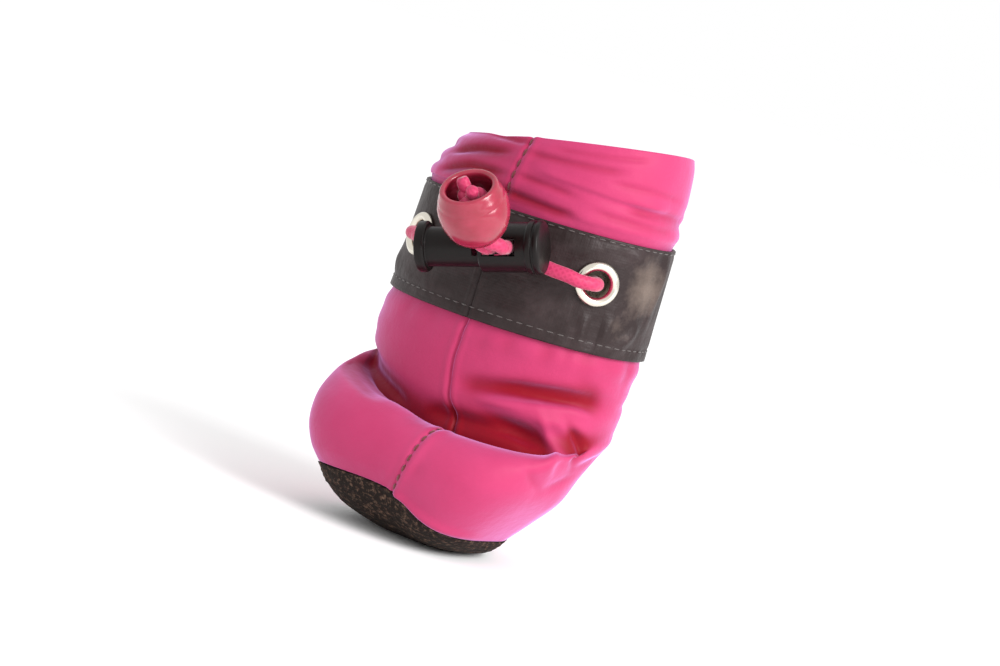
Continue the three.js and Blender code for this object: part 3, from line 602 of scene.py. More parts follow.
# Drawcord, from each eyelet behind and through the lock to the knot in the bell
drawcord = {"diameter": 2.5, "strandGap": 0.35, "knotWidth": 6.6, "knotAlong": 6.9, "pastEyelet": -2.3}
eyelet = {"hole": 4.8, "tube": 5.6, "punch": 5.9, "flange": 8.2, "thick": 0.9,
          "angles": {"left": -38, "right": 52.5}, "drops": {"left": 9.8, "right": 8.6}}
lock = {"place": (5.4, -28.5, 55.8), "yaw": 15, "tilt": 16, "length": 22.6, "travel": 2, "plunger": 7,
        "flange": 9, "flangeThick": 1.8, "clearance": 0.3, "barrel": 9.5, "mouthWall": 0.9,
        "endWall": 1.1, "tipWall": 0.9, "edge": 0.12}
bell = {"length": 10.8, "width": 12.4, "wall": 1, "neck": 7.6, "mouthShare": 0.82, "along": (-0.07, -0.66, 0.75)}

eyeletSpots = {}
for side, angle in eyelet["angles"].items():
    eyeletPlace = placeOf["bandHead"] - 2 * eyelet["drops"][side] / boot["bandHeight"]
    centre, outside = surfacePoint(eyeletPlace, math.radians(angle))
    eyeletSpots[side] = (centre, outside)

yaw, tilt = math.radians(lock["yaw"]), math.radians(lock["tilt"])
lockAlong = np.array((math.cos(yaw) * math.cos(tilt), math.sin(yaw) * math.cos(tilt), math.sin(tilt)))
lockOut = np.array((math.sin(yaw), -math.cos(yaw), 0))
lockUp = -np.cross(lockAlong, lockOut)
lockStart = np.array(lock["place"]) - lockAlong * lock["length"] / 2


def lockPoint(along, out, up=0.0):
    return lockStart + lockAlong * along + lockOut * out + lockUp * up


boreEnd = lock["length"] - lock["endWall"]
plungerTip = boreEnd - boot["gap"] - lock["travel"]
strandsEnd = plungerTip - lock["tipWall"] - boot["gap"]
strandsStart = strandsEnd - 2 * drawcord["diameter"] - drawcord["strandGap"]
barrelMouth = strandsStart - boot["gap"] - lock["mouthWall"]
strandAlong = {"left": strandsStart + drawcord["diameter"] / 2, "right": strandsEnd - drawcord["diameter"] / 2}
slotFront = lock["barrel"] / 2 + 0.6

bellAlong = np.array(bell["along"]) / np.linalg.norm(bell["along"])
bellPlace = lockPoint(strandAlong["left"] - 0.2, lock["barrel"] / 2 + 4.5, 1.9)
bellSide = np.array((1.0, 0, 0)) - bellAlong * bellAlong[0]
bellSide /= np.linalg.norm(bellSide)
bellRise = -np.cross(bellSide, bellAlong)


def bellPoint(along, sideways, up=0.0):
    return bellPlace + bellAlong * along + bellSide * sideways + bellRise * up


def eyeletPoint(side, out, along):
    centre, outside = eyeletSpots[side]
    sideways = np.cross((0, 0, 1.0), outside)
    return centre + outside * out + sideways / np.linalg.norm(sideways) * along


tailEnd = drawcord["knotAlong"] - drawcord["knotWidth"] / 2 - boot["gap"] - 0.1
strandSide = (drawcord["diameter"] + drawcord["strandGap"]) / 2
cordRoutes = {
    "left": [
        eyeletPoint("left", drawcord["pastEyelet"], 0), eyeletPoint("left", 0.2, 0),
        eyeletPoint("left", 2.1, 0.3), eyeletPoint("left", 3.75, 1.8), eyeletPoint("left", 4, 4.4),
        (-11.4, -21.7, 53.2), (-7, -23, 53.8), (-2.5, -23.2, 54.4), (1, -22.9, 55),
        (3.8, -22, 55.6), (5.8, -21.6, 56), lockPoint(strandAlong["left"] + 0.05, -5.6, -0.2),
        lockPoint(strandAlong["left"], -3.8), lockPoint(strandAlong["left"], 0),
        lockPoint(strandAlong["left"], slotFront), lockPoint(strandAlong["left"], slotFront + 1),
        lockPoint(strandAlong["left"] - 0.6, slotFront + 2.2, 0.5),
        bellPoint(-0.8, -strandSide), bellPoint(0.8, -strandSide), bellPoint(tailEnd, -strandSide),
    ],
    "right": [
        eyeletPoint("right", drawcord["pastEyelet"], 0), eyeletPoint("right", 0.2, 0),
        eyeletPoint("right", 2.1, -0.3), eyeletPoint("right", 3.75, -1.8), eyeletPoint("right", 4, -4.4),
        (17.9, -18.4, 54.9), (15.2, -19.5, 55.1), (12.6, -20.2, 55.5),
        lockPoint(strandAlong["right"] + 0.6, -6.1, -0.6), lockPoint(strandAlong["right"], -4.2),
        lockPoint(strandAlong["right"], 0), lockPoint(strandAlong["right"], slotFront),
        lockPoint(strandAlong["right"], slotFront + 1), lockPoint(strandAlong["right"] - 0.3, slotFront + 2.2, 0.4),
        bellPoint(-0.8, strandSide), bellPoint(0.8, strandSide), bellPoint(tailEnd, strandSide),
    ],
}


def makeKnot():
    # an overhand knot pulled tight: the cord wound on itself, with two short cut ends
    radius = drawcord["diameter"] / 2
    loopWidth = drawcord["knotWidth"] / 2 - radius
    turns = np.linspace(0, 2 * np.pi, 150, endpoint=False)
    across = loopWidth * (0.66 + 0.34 * np.cos(3 * turns))
    flat = np.stack([across * np.cos(2 * turns), across * np.sin(2 * turns), 1.5 * np.sin(3 * turns)], -1)
    centre = bellPoint(drawcord["knotAlong"], 0)
    path = centre + flat[:, :1] * bellSide + flat[:, 1:2] * bellRise + flat[:, 2:] * bellAlong
    looped = np.concatenate([path, path[:3]])
    mesh = ringMesh(tubeRings(looped, radius * 0.98, 16, 0)[1:-1][:150], closed=True)
    for spread, lift in ((-1.3, 0.6), (1.1, -0.7)):
        end = [bellPoint(drawcord["knotAlong"] + ahead, spread * aside, lift * above)
               for ahead, aside, above in ((0.8, 0.4, 0.4), (2.6, 1, 1), (4.4, 1.5, 1.6))]
        tail = ringMesh(tubeRings(catmullPath(end)[0], radius * 0.92, 16, 0.25), capped=True)
        data = bpy.data.meshes.new("tail")
        tail.to_mesh(data)
        tail.free()
        mesh.from_mesh(data)
        bpy.data.meshes.remove(data)
    return addPiece("cordKnot", outward(mesh), elasticCord)


cordKnot = makeKnot()
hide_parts("drawcord_knot")
for side, route in cordRoutes.items():
    path, length = catmullPath(route)
    tube = outward(ringMesh(tubeRings(path, drawcord["diameter"] / 2), capped=True))
    piece = addPiece("drawcord_" + side, tube, elasticCord)
    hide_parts("drawcord_bar_" + side, "drawcord_tail_" + side)
print("drawcord made")


# Bell end, slipped over the knot
def makeBell():
    neckHole = drawcord["diameter"] + drawcord["strandGap"] / 2 + boot["gap"]
    neck, belly, tall = bell["neck"] / 2, bell["width"] / 2, bell["length"]
    mouth = belly * bell["mouthShare"]
    outline = [(neck - 0.3, 0), (neck, 0.25), (neck + 0.1, 0.05 * tall), (neck + 0.28 * (belly - neck), 0.085 * tall),
               (neck + 0.52 * (belly - neck), 0.15 * tall), (neck + 0.72 * (belly - neck), 0.24 * tall),
               (neck + 0.9 * (belly - neck), 0.36 * tall), (belly - 0.04, 0.46 * tall), (belly, 0.56 * tall),
               (belly - 0.06, 0.66 * tall), (belly - 0.3, 0.74 * tall), (belly - 0.42, 0.755 * tall),
               (belly - 0.4, 0.78 * tall),
               (mouth + 0.45, 0.85 * tall), (mouth + 0.12, 0.91 * tall), (mouth, tall - 0.35),
               (mouth - 0.2, tall - 0.08), (mouth - 0.5, tall)]
    inside = [(mouth - 0.85, tall - 0.1), (mouth - bell["wall"] - 0.1, tall - 0.45)]
    inside += [(r - bell["wall"], h) for r, h in reversed(outline[3:14]) if h < 0.86 * tall]
    profile = outline + inside + [(neckHole + 0.2, 0.1 * tall), (neckHole, 0)]
    return spunMesh(profile, bellAlong, bellPlace, 72)


bellEnd = addPiece("bellEnd", makeBell(), bellPlastic)
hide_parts("cord_bell")
print("bell end made")


# Upper: softshell over a fleece lining
# Finer creases than the model has: angle, height, reach, spread, rise, depth (negative is a ridge)
creases = [
    # dimples where the tape holds the leg in
    (12, 38.6, 3.2, 2.4, 0, 0.15), (23, 39.8, 4.4, 2.2, 0, 0.3), (40, 40.4, 4.2, 2.6, 0, 0.35),
    (49, 41.0, 3.0, 2.2, 0, 0.2), (59, 41.0, 4.4, 2.6, 0, 0.3), (74, 40.0, 6.0, 2.6, 0, 0.25),
    (-14, 40.4, 4.0, 2.2, 0, 0.2), (-30, 40.0, 4.5, 2.6, 0, 0.25), (92, 40.0, 5.0, 2.6, 0, 0.35),
    # the foot's side and the toe
    (84, 18.5, 12, 1.2, 1.6, 0.4), (98, 22.5, 14, 1.3, 1.8, 0.45),
    (-74, 20.5, 12, 1.2, -0.8, 0.4), (-86, 30.0, 14, 1.2, -1.0, 0.4), (-70, 34.2, 12, 1.1, -0.8, 0.3),
    (16.5, 8.5, 3.5, 2.2, 0, -0.3), (9, 12, 2.5, 3.5, 0, 0.16), (17, 15, 3, 2.0, 0, 0.2),
    # round the back
    (120, 33.8, 18, 1.2, 1.0, 0.45), (150, 30.2, 20, 1.2, -0.8, 0.45), (-150, 32.5, 20, 1.2, 0.9, 0.45),
    (-118, 28.8, 16, 1.2, 0.8, 0.45), (176, 25.4, 18, 1.2, 0.3, 0.4), (140, 70.5, 26, 0.9, 0.5, 0.45),
    (110, 67.2, 22, 0.9, 0.4, 0.45), (-140, 71.2, 24, 0.9, -0.5, 0.45), (-105, 67.8, 22, 0.9, -0.4, 0.45),
    (175, 67.5, 20, 0.8, 0.2, 0.4), (160, 17.5, 16, 1.2, 0.8, 0.35), (-155, 15.5, 16, 1.2, -0.8, 0.35),
]
# Long creases along given lines: depth (negative is a ridge), how far it spreads above and
# below, then the line's points as angle and height
creaseLines = [
    # over the instep: the arched trough, the roll under it and the edge of the next fold
    (0.8, 1.6, 1.4, (6, 30.2), (22, 31.3), (34, 32.7), (53, 33.8), (68, 34.0), (80, 33.2)),
    (-0.55, 0.9, 0.9, (18, 28.9), (28, 29.4), (45, 30.5), (61, 31.2), (74, 30.8)),
    (0.25, 1.2, 1.4, (56, 37.2), (63, 36.6), (78, 34.8), (92, 33.6)),
    # the hollow above the fold's lip, its upright ridge and the streak beyond
    (0.9, 1.7, 1.3, (-6, 23.8), (12, 24.0), (25, 24.5), (36, 24.8), (50, 24.2)),
    (-0.7, 1.5, 1.4, (42, 29.6), (46, 28.7), (52, 25.4), (60, 22.6), (72, 19.6)),
    (0.8, 1.3, 1.0, (56, 29.4), (64, 27.4), (76, 24.1), (88, 21.6)),
    (0.45, 1.0, 0.8, (50, 21.6), (60, 18.8), (72, 16.6)),
    (0.8, 1.2, 0.8, (-66, 27.8), (-56, 27.0), (-34, 25.1), (-18, 23.6)),
    # the collar's gathers, right of the seam
    (0.5, 0.6, 0.8, (0, 73.3), (19, 73.6), (38, 74.2), (52, 74.7)),
    (0.55, 0.7, 0.7, (2, 69.0), (18, 68.8), (34, 68.2)),
    (0.9, 0.8, 0.9, (-4, 65.7), (11, 65.3), (24, 64.9), (36, 64.9)),
    (-0.5, 0.8, 0.8, (10, 70.9), (32, 70.5), (52, 70.0), (84, 70.0)),
    (0.45, 0.7, 0.9, (56, 69.0), (64, 68.8), (82, 68.8), (114, 68.4)),
    (0.35, 0.5, 0.6, (12, 75.2), (35, 76.3), (64, 78.0)),
    (0.35, 0.6, 0.7, (44, 72.4), (70, 72.6), (96, 72.0)),
    (0.4, 0.7, 0.8, (40, 66.6), (66, 66.2), (96, 65.8)),
    # and left of it
    (0.65, 0.7, 0.8, (-46, 69.2), (-24, 71.4), (-4, 72.5)),
    (0.75, 0.7, 0.9, (-44, 65.4), (-22, 68.0), (-1, 68.5)),
    (0.5, 0.6, 0.7, (-28, 74.6), (-6, 74.8), (3, 75.1)),
    (0.6, 0.7, 0.8, (-20, 65.6), (-8, 66.2), (0, 66.0)),
    (0.45, 0.8, 0.8, (-88, 70.6), (-66, 70.0), (-48, 71.0)),
    (0.45, 0.8, 0.8, (-90, 66.6), (-66, 66.6), (-46, 67.4)),
]
# the front seam's angle at each section, from the sole's edge to the collar
frontSeam = [12.8, 12, 11.3, 11.8, 11.4, 10.8, 10, 9.2, 7.4, 4.2, 2.6, 2.2, 2, 1.2, 1.5, 1.2, 0.2, -1.5]
shell = {"columns": 290, "rows": 230, "innerRows": 48, "fabric": 0.8, "seamWidth": 0.34, "seamDepth": 0.5,
         "hemRoll": 0.55, "stitchPitch": 2.2, "stitchSize": (1.5, 0.6, 0.34), "stitchShift": 0.15, "stitchLift": 0.16}


def denserNear(count, spots):
    # angles all round, closer together near the given places: centre, width, weight
    fine = np.linspace(-180, 180, 7201)
    density = 1 + sum(
        weight * np.exp(-((turnedFrom(np.radians(fine), centre) / width) ** 2)) for centre, width, weight in spots)
    total = np.concatenate([[0], np.cumsum((density[1:] + density[:-1]) / 2)])
    return np.radians(np.interp(np.arange(count) / count * total[-1], total, fine))


def creaseHeight(angle, up, table):
    raised = 0
    for centre, height, reach, spread, rise, depth in table:
        along = turnedFrom(angle, centre) / reach
        across = (up - height - rise * along) / spread
        raised = raised - depth * np.exp(-(along**2) - across**2)
    return raised


def lineHeight(angle, up, wider=1.0):
    # the relief of the long creases, smoothed along their lines and faded out at each end
    turned = turnedFrom(angle, 0)
    pastEnds, longestFade, step, half = 8, 14, 0.5, 7  # degrees, and the window's half in steps
    window = np.hanning(2 * half + 1)
    window = window / window.sum()
    raised = 0
    for depth, above, below, *points in creaseLines:
        fine = np.arange(points[0][0] - pastEnds, points[-1][0] + pastEnds, step)
        line = np.convolve(np.pad(np.interp(fine, *zip(*points)), half, "edge"), window, "valid")
        off = up - np.interp(turned, fine, line)
        toEnd = np.minimum(turned - fine[0] - pastEnds / 2, fine[-1] - pastEnds / 2 - turned)
        fade = np.clip(toEnd / min(longestFade, len(fine) / 5), 0, 1)
        fade = fade * fade * (3 - 2 * fade)
        raised = raised - depth * fade * np.exp(-((off / (wider * np.where(off > 0, above, below))) ** 2))
    return raised


def evenPlaces(low, high, count):
    # places from one section to another at even steps along the cloth, wider ones under the band
    fine = np.linspace(low, high, 1600)
    line = foldedPoint(fine, np.full(1600, 0.5))
    steps = np.linalg.norm(np.diff(line, axis=0), axis=1)
    underBand = (fine[1:] > placeOf["bandFoot"] + 0.15) & (fine[1:] < placeOf["bandHead"] - 0.15)
    steps = steps * np.where(underBand, 0.35, 1)
    length = np.concatenate([[0], np.cumsum(steps)])
    return np.interp(np.linspace(0, length[-1], count), length, fine)


def fromSeam(place, angle):  # millimetres round from the front seam, right side positive
    line = np.interp(place, range(len(frontSeam)), frontSeam)
    return np.radians(turnedFrom(angle, 0) - line) * boot["shaftWidth"] / 2


def paintedShadeShare(place, angle, up):
    # the painted shade at a point, from 0 to 1: how deep in a crease it lies, plus a painted shadow on the collar left
    # of the seam
    deep = -creaseHeight(angle, up, creases) - lineHeight(angle, up, 1.5)
    for centre, foldUp, reach, spread, slope, share in mainFolds:
        along = turnedFrom(angle, centre) / reach
        across = (up / boot["height"] - foldUp - slope * along) / spread
        deep = deep + 0.5 * share * boot["ballWidth"] * np.exp(-(along**2) - across**2)
    # painted shade along the fold's crease over the toe
    inFront = np.clip((np.cos(angle) + 0.25) / 0.6, 0, 1)
    deep = deep + 1.4 * inFront * np.exp(-(((place - 7.3) / 1.0) ** 2))
    # a painted shadow, as if cast from above, darkens the collar left of the seam
    aside = turnedFrom(angle, -24)
    deep = deep + 0.5 * np.exp(-((aside / 26) ** 2)) * np.clip((up - bandTop - 1) / 2, 0, 1)
    share = np.clip(deep / 1.3, 0, 1)
    return share * share * (3 - 2 * share)


def shellRelief(place, angle, point):
    up = point[..., 2]
    underBand = np.clip(np.minimum(up - bandFoot, bandTop - up) / 0.8, 0, 1)
    raised = creaseHeight(angle, up, creases) + lineHeight(angle, up)
    off = fromSeam(place, angle)
    # the cloth rolls over the sole's edge
    sag = np.clip(off / 2, 0, 1) * np.clip((60 - turnedFrom(angle, 12)) / 30, 0, 1)
    raised = raised + shell["hemRoll"] * sag * np.exp(-(((place - 0.16) / 0.2) ** 2))
    seam = -shell["seamDepth"] * np.exp(-((off / shell["seamWidth"]) ** 2))
    seam = seam + 0.14 * np.exp(-(((np.abs(off) - 1.1) / 0.6) ** 2))
    sewnDown = np.clip((place - placeOf["bandHead"]) / 0.5, 0, 1) + np.clip((placeOf["foldLip"] - place) / 0.5, 0, 1)
    seam = seam * (1 - 0.45 * sewnDown) + 0.12 * sewnDown * np.exp(-(((off - 1.3) / 0.9) ** 2))
    backOff = np.radians(turnedFrom(angle, 180)) * boot["shaftWidth"] / 2
    back = -0.4 * np.exp(-((backOff / 0.4) ** 2)) + 0.2 * np.exp(-(((np.abs(backOff) - 1.1) / 0.6) ** 2))
    # and bulges out just below and above the band
    tuck = 0.45 * np.exp(-(((up - bandFoot + 2.2) / 1.7) ** 2)) + 0.35 * np.exp(-(((up - bandTop - 1.8) / 1.4) ** 2))
    raised = np.where(underBand > 0, np.minimum(raised, 0), raised)
    return raised * (1 - 0.8 * underBand) + (seam + back + tuck) * (1 - underBand)


def shellPoint(place, angle, out=0.0):
    base = foldedPoint(place, angle)
    return surfacePoint(place, angle, shellRelief(place, angle, base) + out)


def eyeletPunch():
    # two round bars through the walls at the eyelets
    mesh = bmesh.new()
    radius = eyelet["punch"] / 2 * mm
    for centre, outside in eyeletSpots.values():
        turn = Vector((0, 0, 1)).rotation_difference(Vector(outside)).to_matrix().to_4x4()
        matrix = Matrix.Translation(Vector(centre) * mm) @ turn
        bmesh.ops.create_cone(mesh, cap_ends=True, segments=40, radius1=radius, radius2=radius, depth=12 * mm,
            matrix=matrix)
    return cutterPiece(mesh)


def innerLayer(place, angle, depth):
    # a layer inside the upper, set further in at the fold and its creases so that it never comes through
    count = range(len(upperRows))
    rows = upperRows.copy()
    setIn = depth + np.interp(count, [0, 3, 5, 6, 7, 8, 9, 10], [0, 0.3, 1.2, 1.8, 2.2, 2.0, 1.3, 0.3])
    rows[:, [0, 2, 4]] -= setIn[:, None]
    rows[:, 1] -= np.interp(count, [0, 2, 3, 5, 6, 7, 8], [0, 0.8, 1.8, 3.0, 3.2, 2.2, 0])
    rows[:, 3] -= np.interp(count, [2, 3, 4, 6, 7, 8], [0, 1.2, 2.2, 2.6, 1.6, 0])
    place, angle = np.broadcast_arrays(place, angle)
    layer = foldedPoint(place, angle, rows)
    up = layer[..., 2]
    inset = np.minimum(creaseHeight(angle, up, creases) + lineHeight(angle, up, 1.3), 0) - 0.25
    layer[..., 0] += inset * np.sin(angle)
    layer[..., 1] -= inset * np.cos(angle)
    return layer


def makeUpper():
    angles = denserNear(shell["columns"], [(6, 8, 4), (40, 40, 0.5), (180, 3, 4)])
    places = evenPlaces(0, lastPlace, shell["rows"])
    outer = shellPoint(places[:, None], angles[None, :])[0]
    plain = foldedPoint(places[:, None], np.broadcast_to(angles, (len(places), len(angles))))
    # painted shade for the material, 0 to 1, from how deep the cloth lies in its creases
    paintedShade = paintedShadeShare(places[:, None], angles[None, :], plain[..., 2])
    edge = placeOf["collarEdge"]
    roll = []
    for turn in (30, 75, 105, 150):  # the fabric turns over the collar's edge
        part, normal = shellPoint(np.full(1, edge)[:, None], angles[None, :], -shell["fabric"] / 2)
        bend = math.radians(turn)
        upward = np.array((0, 0, 1.0))
        roll.append(part + shell["fabric"] / 2 * (normal * math.cos(bend) + upward * math.sin(bend)))
    inner = innerLayer(np.linspace(edge, 0, shell["innerRows"])[:, None], angles, shell["fabric"])
    paintedShade = np.concatenate([paintedShade, np.zeros((len(roll) + len(inner), len(angles)))])
    mesh = ringMesh(np.concatenate([outer, *roll, inner]), closed=True, shade=("paintedShade", paintedShade))
    piece = addPiece("upperShell", outward(mesh), shellFabric)
    cutAway(piece, eyeletPunch())
    return piece


upperShell = makeUpper()
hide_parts("upper")
print("upper made")


lining = {"columns": 150, "rows": 90, "top": placeOf["collarNeck"] + 0.35, "curl": 0.35,
          "tufts": 3200, "nearCollar": 0.6, "tuftRadius": 0.22, "tuftLength": (0.6, 1.3)}


def makeLining():
    angles = np.linspace(0, 2 * np.pi, lining["columns"], endpoint=False)
    places = np.linspace(0.1, lining["top"], lining["rows"])
    rng = np.random.default_rng(7)
    curls = rng.normal(0, 1, (len(places), len(angles)))
    soft = curls
    for _ in range(2):
        soft = (soft + np.roll(soft, 1, 0) + np.roll(soft, -1, 0) + np.roll(soft, 1, 1) + np.roll(soft, -1, 1)) / 5
    soft = soft / np.abs(soft).max()
    face = innerLayer(places[:, None], angles, boot["wall"] + 0.15)
    face = face + (lining["curl"] * soft)[..., None] * surfacePoint(places[:, None], angles[None, :])[1]
    behind = innerLayer(places[::-3, None], angles, shell["fabric"] + 0.2)
    mesh = ringMesh(np.concatenate([face, behind]), closed=True)
    piece = addPiece("fleeceLining", outward(mesh), fleece)
    cutAway(piece, eyeletPunch())
    return piece


makeLining()
print("lining made")


def makeTufts():
    # short curls that stand out of the fleece, thickest round the collar
    draw = random.Random(11)

    def oneTuft(mesh):
        return bmesh.ops.create_cone(mesh, cap_ends=True, segments=3, radius1=lining["tuftRadius"], radius2=0.03,
                                     depth=1.0, matrix=Matrix.Translation((0, 0, 0.4)))["verts"]

    spots = []
    collar, leg = (placeOf["collarFoot"] - 1.0, lining["top"]), (placeOf["instep"] + 0.3, placeOf["collarFoot"])
    nearCollar, count = lining["nearCollar"], lining["tufts"]
    place = np.array([draw.uniform(*(collar if draw.random() < nearCollar else leg)) for _ in range(count)])
    angle = np.array([draw.uniform(0, 2 * math.pi) for _ in place])
    roots, normals = innerLayer(place, angle, boot["wall"] + 0.2), surfacePoint(place, angle)[1]
    for point, normal in zip(roots, normals):
        aside = Vector((draw.uniform(-0.9, 0.9), draw.uniform(-0.9, 0.9), draw.uniform(-0.7, 0.9)))
        lean = 1.1 * Vector(-normal) + aside
        turn = Vector((0, 0, 1)).rotation_difference(lean).to_matrix().to_4x4()
        long = draw.uniform(*lining["tuftLength"])
        spots.append(Matrix.Translation(Vector(point) * mm) @ turn @ Matrix.Diagonal((mm, mm, long * mm, 1)))
    return addPiece("fleeceCurls", scatterMesh(spots, oneTuft), fleece)


makeTufts()
print("fleece curls made")


# Outsole and insole
outsole = {"columns": 160, "tread": 0.3, "dotSpacing": 3.2, "dotRadius": 0.75, "edge": 0.12,
           "middle": (-2.55, -4.7)}
soleMiddle = np.array((*outsole["middle"], 0))


def drawnIn(ring, shares, up):  # copies of a ring, drawn in towards the sole's middle at one height
    rings = soleMiddle + (ring - soleMiddle) * shares[:, None, None]
    rings[..., 2] = up
    return rings


def solePoint(place, angle, rise=0.0, setIn=0.0):
    rows = np.array([soleRow(s) for s in soleSections])
    row = blendRows(rows, place)
    row[..., 1] += rise
    row[..., 3] += rise
    for k in (0, 2, 4):
        row[..., k] -= setIn
    return sectionPoint(row, angle)


def makeOutsole():
    angles = np.linspace(0, 2 * np.pi, outsole["columns"], endpoint=False)
    places = np.linspace(0, 3, 26)[:, None]
    shrink = np.linspace(0.06, 0.94, 10)
    rng = np.random.default_rng(3)
    outer = solePoint(places, angles[None, :])
    outer[..., 2] = np.maximum(outer[..., 2], outsole["tread"])
    edge = rng.normal(0, 1, (len(places), len(angles)))
    for _ in range(2):
        edge = (edge + np.roll(edge, 1, 1) + np.roll(edge, -1, 1)) / 3
    outer[..., 0] += outsole["edge"] * edge * np.sin(angles)
    outer[..., 1] -= outsole["edge"] * edge * np.cos(angles)
    flat = drawnIn(outer[0], shrink, outsole["tread"])
    share = np.interp(places, range(4), [s[11] for s in soleSections])
    inner = solePoint(places, angles[None, :], boot["soleThickness"] * share, boot["soleRimWall"] * (1 - share))
    rimTop = (outer[-1:] + inner[-1:]) / 2 + np.array((0, 0, 0.25))
    floor = drawnIn(inner[0], shrink[::-1], boot["soleThickness"])
    mesh = ringMesh(np.concatenate([flat, outer, rimTop, inner[::-1], floor]), capped=True)
    return addPiece("soleCup", outward(mesh), soleRubber)


soleCup = makeOutsole()
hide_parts("outsole")


def makeTread():
    # low round grip studs under the flat of the sole
    def oneStud(mesh):
        return bmesh.ops.create_cone(mesh, cap_ends=True, segments=10, radius1=1.0, radius2=0.72, depth=1.0)["verts"]

    spots = []
    edge = solePoint(np.zeros(1), np.linspace(0, 2 * np.pi, 180, endpoint=False))
    middle = soleMiddle[:2]
    around = np.arctan2(edge[:, 0] - middle[0], middle[1] - edge[:, 1])
    reach = np.linalg.norm(edge[:, :2] - middle, axis=1)
    step = outsole["dotSpacing"]
    for i in range(-8, 9):
        for j in range(-9, 10):
            x, y = middle[0] + step * (i + (j % 2) / 2), middle[1] + step * 0.87 * j
            turn = math.atan2(x - middle[0], middle[1] - y)
            nearest = np.argmax(np.cos(around - turn))
            if math.hypot(x - middle[0], y - middle[1]) < reach[nearest] - 1.4:
                size = outsole["dotRadius"] * mm
                flip = Matrix.Diagonal((size, size, -0.5 * mm, 1))
                spots.append(Matrix.Translation((x * mm, y * mm, 0.25 * mm)) @ flip)
    return addPiece("soleStuds", outward(scatterMesh(spots, oneStud)), soleRubber)


makeTread()


def makeInsole():
    angles = np.linspace(0, 2 * np.pi, 140, endpoint=False)
    rng = np.random.default_rng(5)
    shrink = np.linspace(0.05, 1, 26)
    gap, thick = boot["gap"], boot["insoleThickness"]
    soleTop = boot["soleThickness"] + gap
    side = solePoint(np.full(1, 0.95), angles, boot["soleThickness"] * 0.85 + gap, boot["soleRimWall"] * 0.15 + 3 * gap)
    under = drawnIn(side, shrink, soleTop)
    under[-1, :, 2] = side[:, 2]
    curls = rng.normal(0, 1, under.shape[:2])
    curls = (curls + np.roll(curls, 1, 1) + np.roll(curls, -1, 1) + np.roll(curls, 1, 0)) / 4
    over = under[::-1].copy()
    rim = np.interp(shrink[::-1], [0, 0.6, 1], [0, 0.15, 1])[:, None]
    over[..., 2] = soleTop + thick * (1 - 0.25 * rim**4) + rim * (side[None, :, 2] - soleTop) + 0.3 * curls[::-1]
    mesh = ringMesh(np.concatenate([under, over]), capped=True)
    return addPiece("insolePad", outward(mesh), fleece)


insolePad = makeInsole()
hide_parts("insole")
print("sole made")


# Reflective band and its stitching
bandCreases = [
    # crumpled at the right edge and under the right eyelet
    (96, 58.0, 5, 5.0, 0, -0.5), (88, 52.0, 4, 6.0, 2.0, 0.35), (102, 50.0, 4, 6.0, 0, 0.4),
    (80, 46.5, 8, 1.6, 2.2, -0.45),
    (92, 45.5, 9, 1.2, 1.8, 0.3), (58, 46.0, 2.6, 3.4, 0, 0.35), (52, 45.8, 2.4, 3.0, 0, -0.35),
    (64, 46.5, 3, 2.6, 1.0, -0.3),
    (72, 60.5, 9, 1.2, -1.2, -0.35), (84, 60.0, 8, 1.2, 0.8, 0.3), (40, 59.5, 12, 1.6, 0.8, -0.3),
    (24, 45.5, 10, 1.6, 0.4, -0.3),
    (-20, 45.0, 9, 1.6, 0.6, -0.3), (-58, 47.0, 7, 2.0, -1.0, -0.4), (-70, 56.0, 5, 4.0, 0, 0.35),
    (-88, 50.0, 5, 5.0, 0, -0.4),
    (120, 52.0, 6, 6.0, 1.0, 0.3), (140, 48.0, 12, 1.6, 1.4, -0.35), (165, 57.0, 12, 1.8, 0.8, -0.3),
    (-150, 50.0, 10, 2.0, -1.2, -0.35),
    (-120, 56.5, 9, 2.4, 1.0, 0.3), (-172, 46.0, 9, 1.6, 0.5, 0.3),
]
bandSizes = {"columns": 290, "rows": 52, "stitchInsets": (2.4, 0.9), "stitchLength": 1.3, "stitchPitch": 1.9,
    "stitchWidth": 0.2}
bandInset = 2 * boot["gap"] / boot["bandHeight"]
bandPlaces = (placeOf["bandFoot"] + bandInset, placeOf["bandHead"] - bandInset)


def bandRelief(angle, up):
    raised = 1.4 * creaseHeight(angle, up, bandCreases)
    raised = np.maximum(raised, -0.12)  # never into the shell behind
    for spot, centre in eyelet["angles"].items():  # pressed flat round the eyelets
        around = np.radians(turnedFrom(angle, centre)) * boot["shaftWidth"] / 2
        away = np.hypot(around, up - bandTop + eyelet["drops"][spot])
        raised = raised * np.clip((away - 4.2) / 2.0, 0, 1)
    low, high = bandSizes["stitchInsets"]
    for line in (bandFoot + low, bandTop - high):  # drawn down along the stitches
        raised = raised - 0.12 * np.exp(-(((up - line) / 0.45) ** 2))
    place = np.interp(up, (bandFoot, bandTop), (placeOf["bandFoot"], placeOf["bandHead"]))
    off = fromSeam(place, angle)
    raised = raised - 0.24 * np.exp(-((off / 0.3) ** 2)) + 0.18 * np.exp(-(((np.abs(off) - 0.8) / 0.45) ** 2))
    return raised


def bandPoint(place, angle, out=0.0):
    base = foldedPoint(place, angle)
    lift = boot["gap"] + boot["bandThickness"] + bandRelief(angle, base[..., 2]) + out
    return surfacePoint(place, angle, lift)


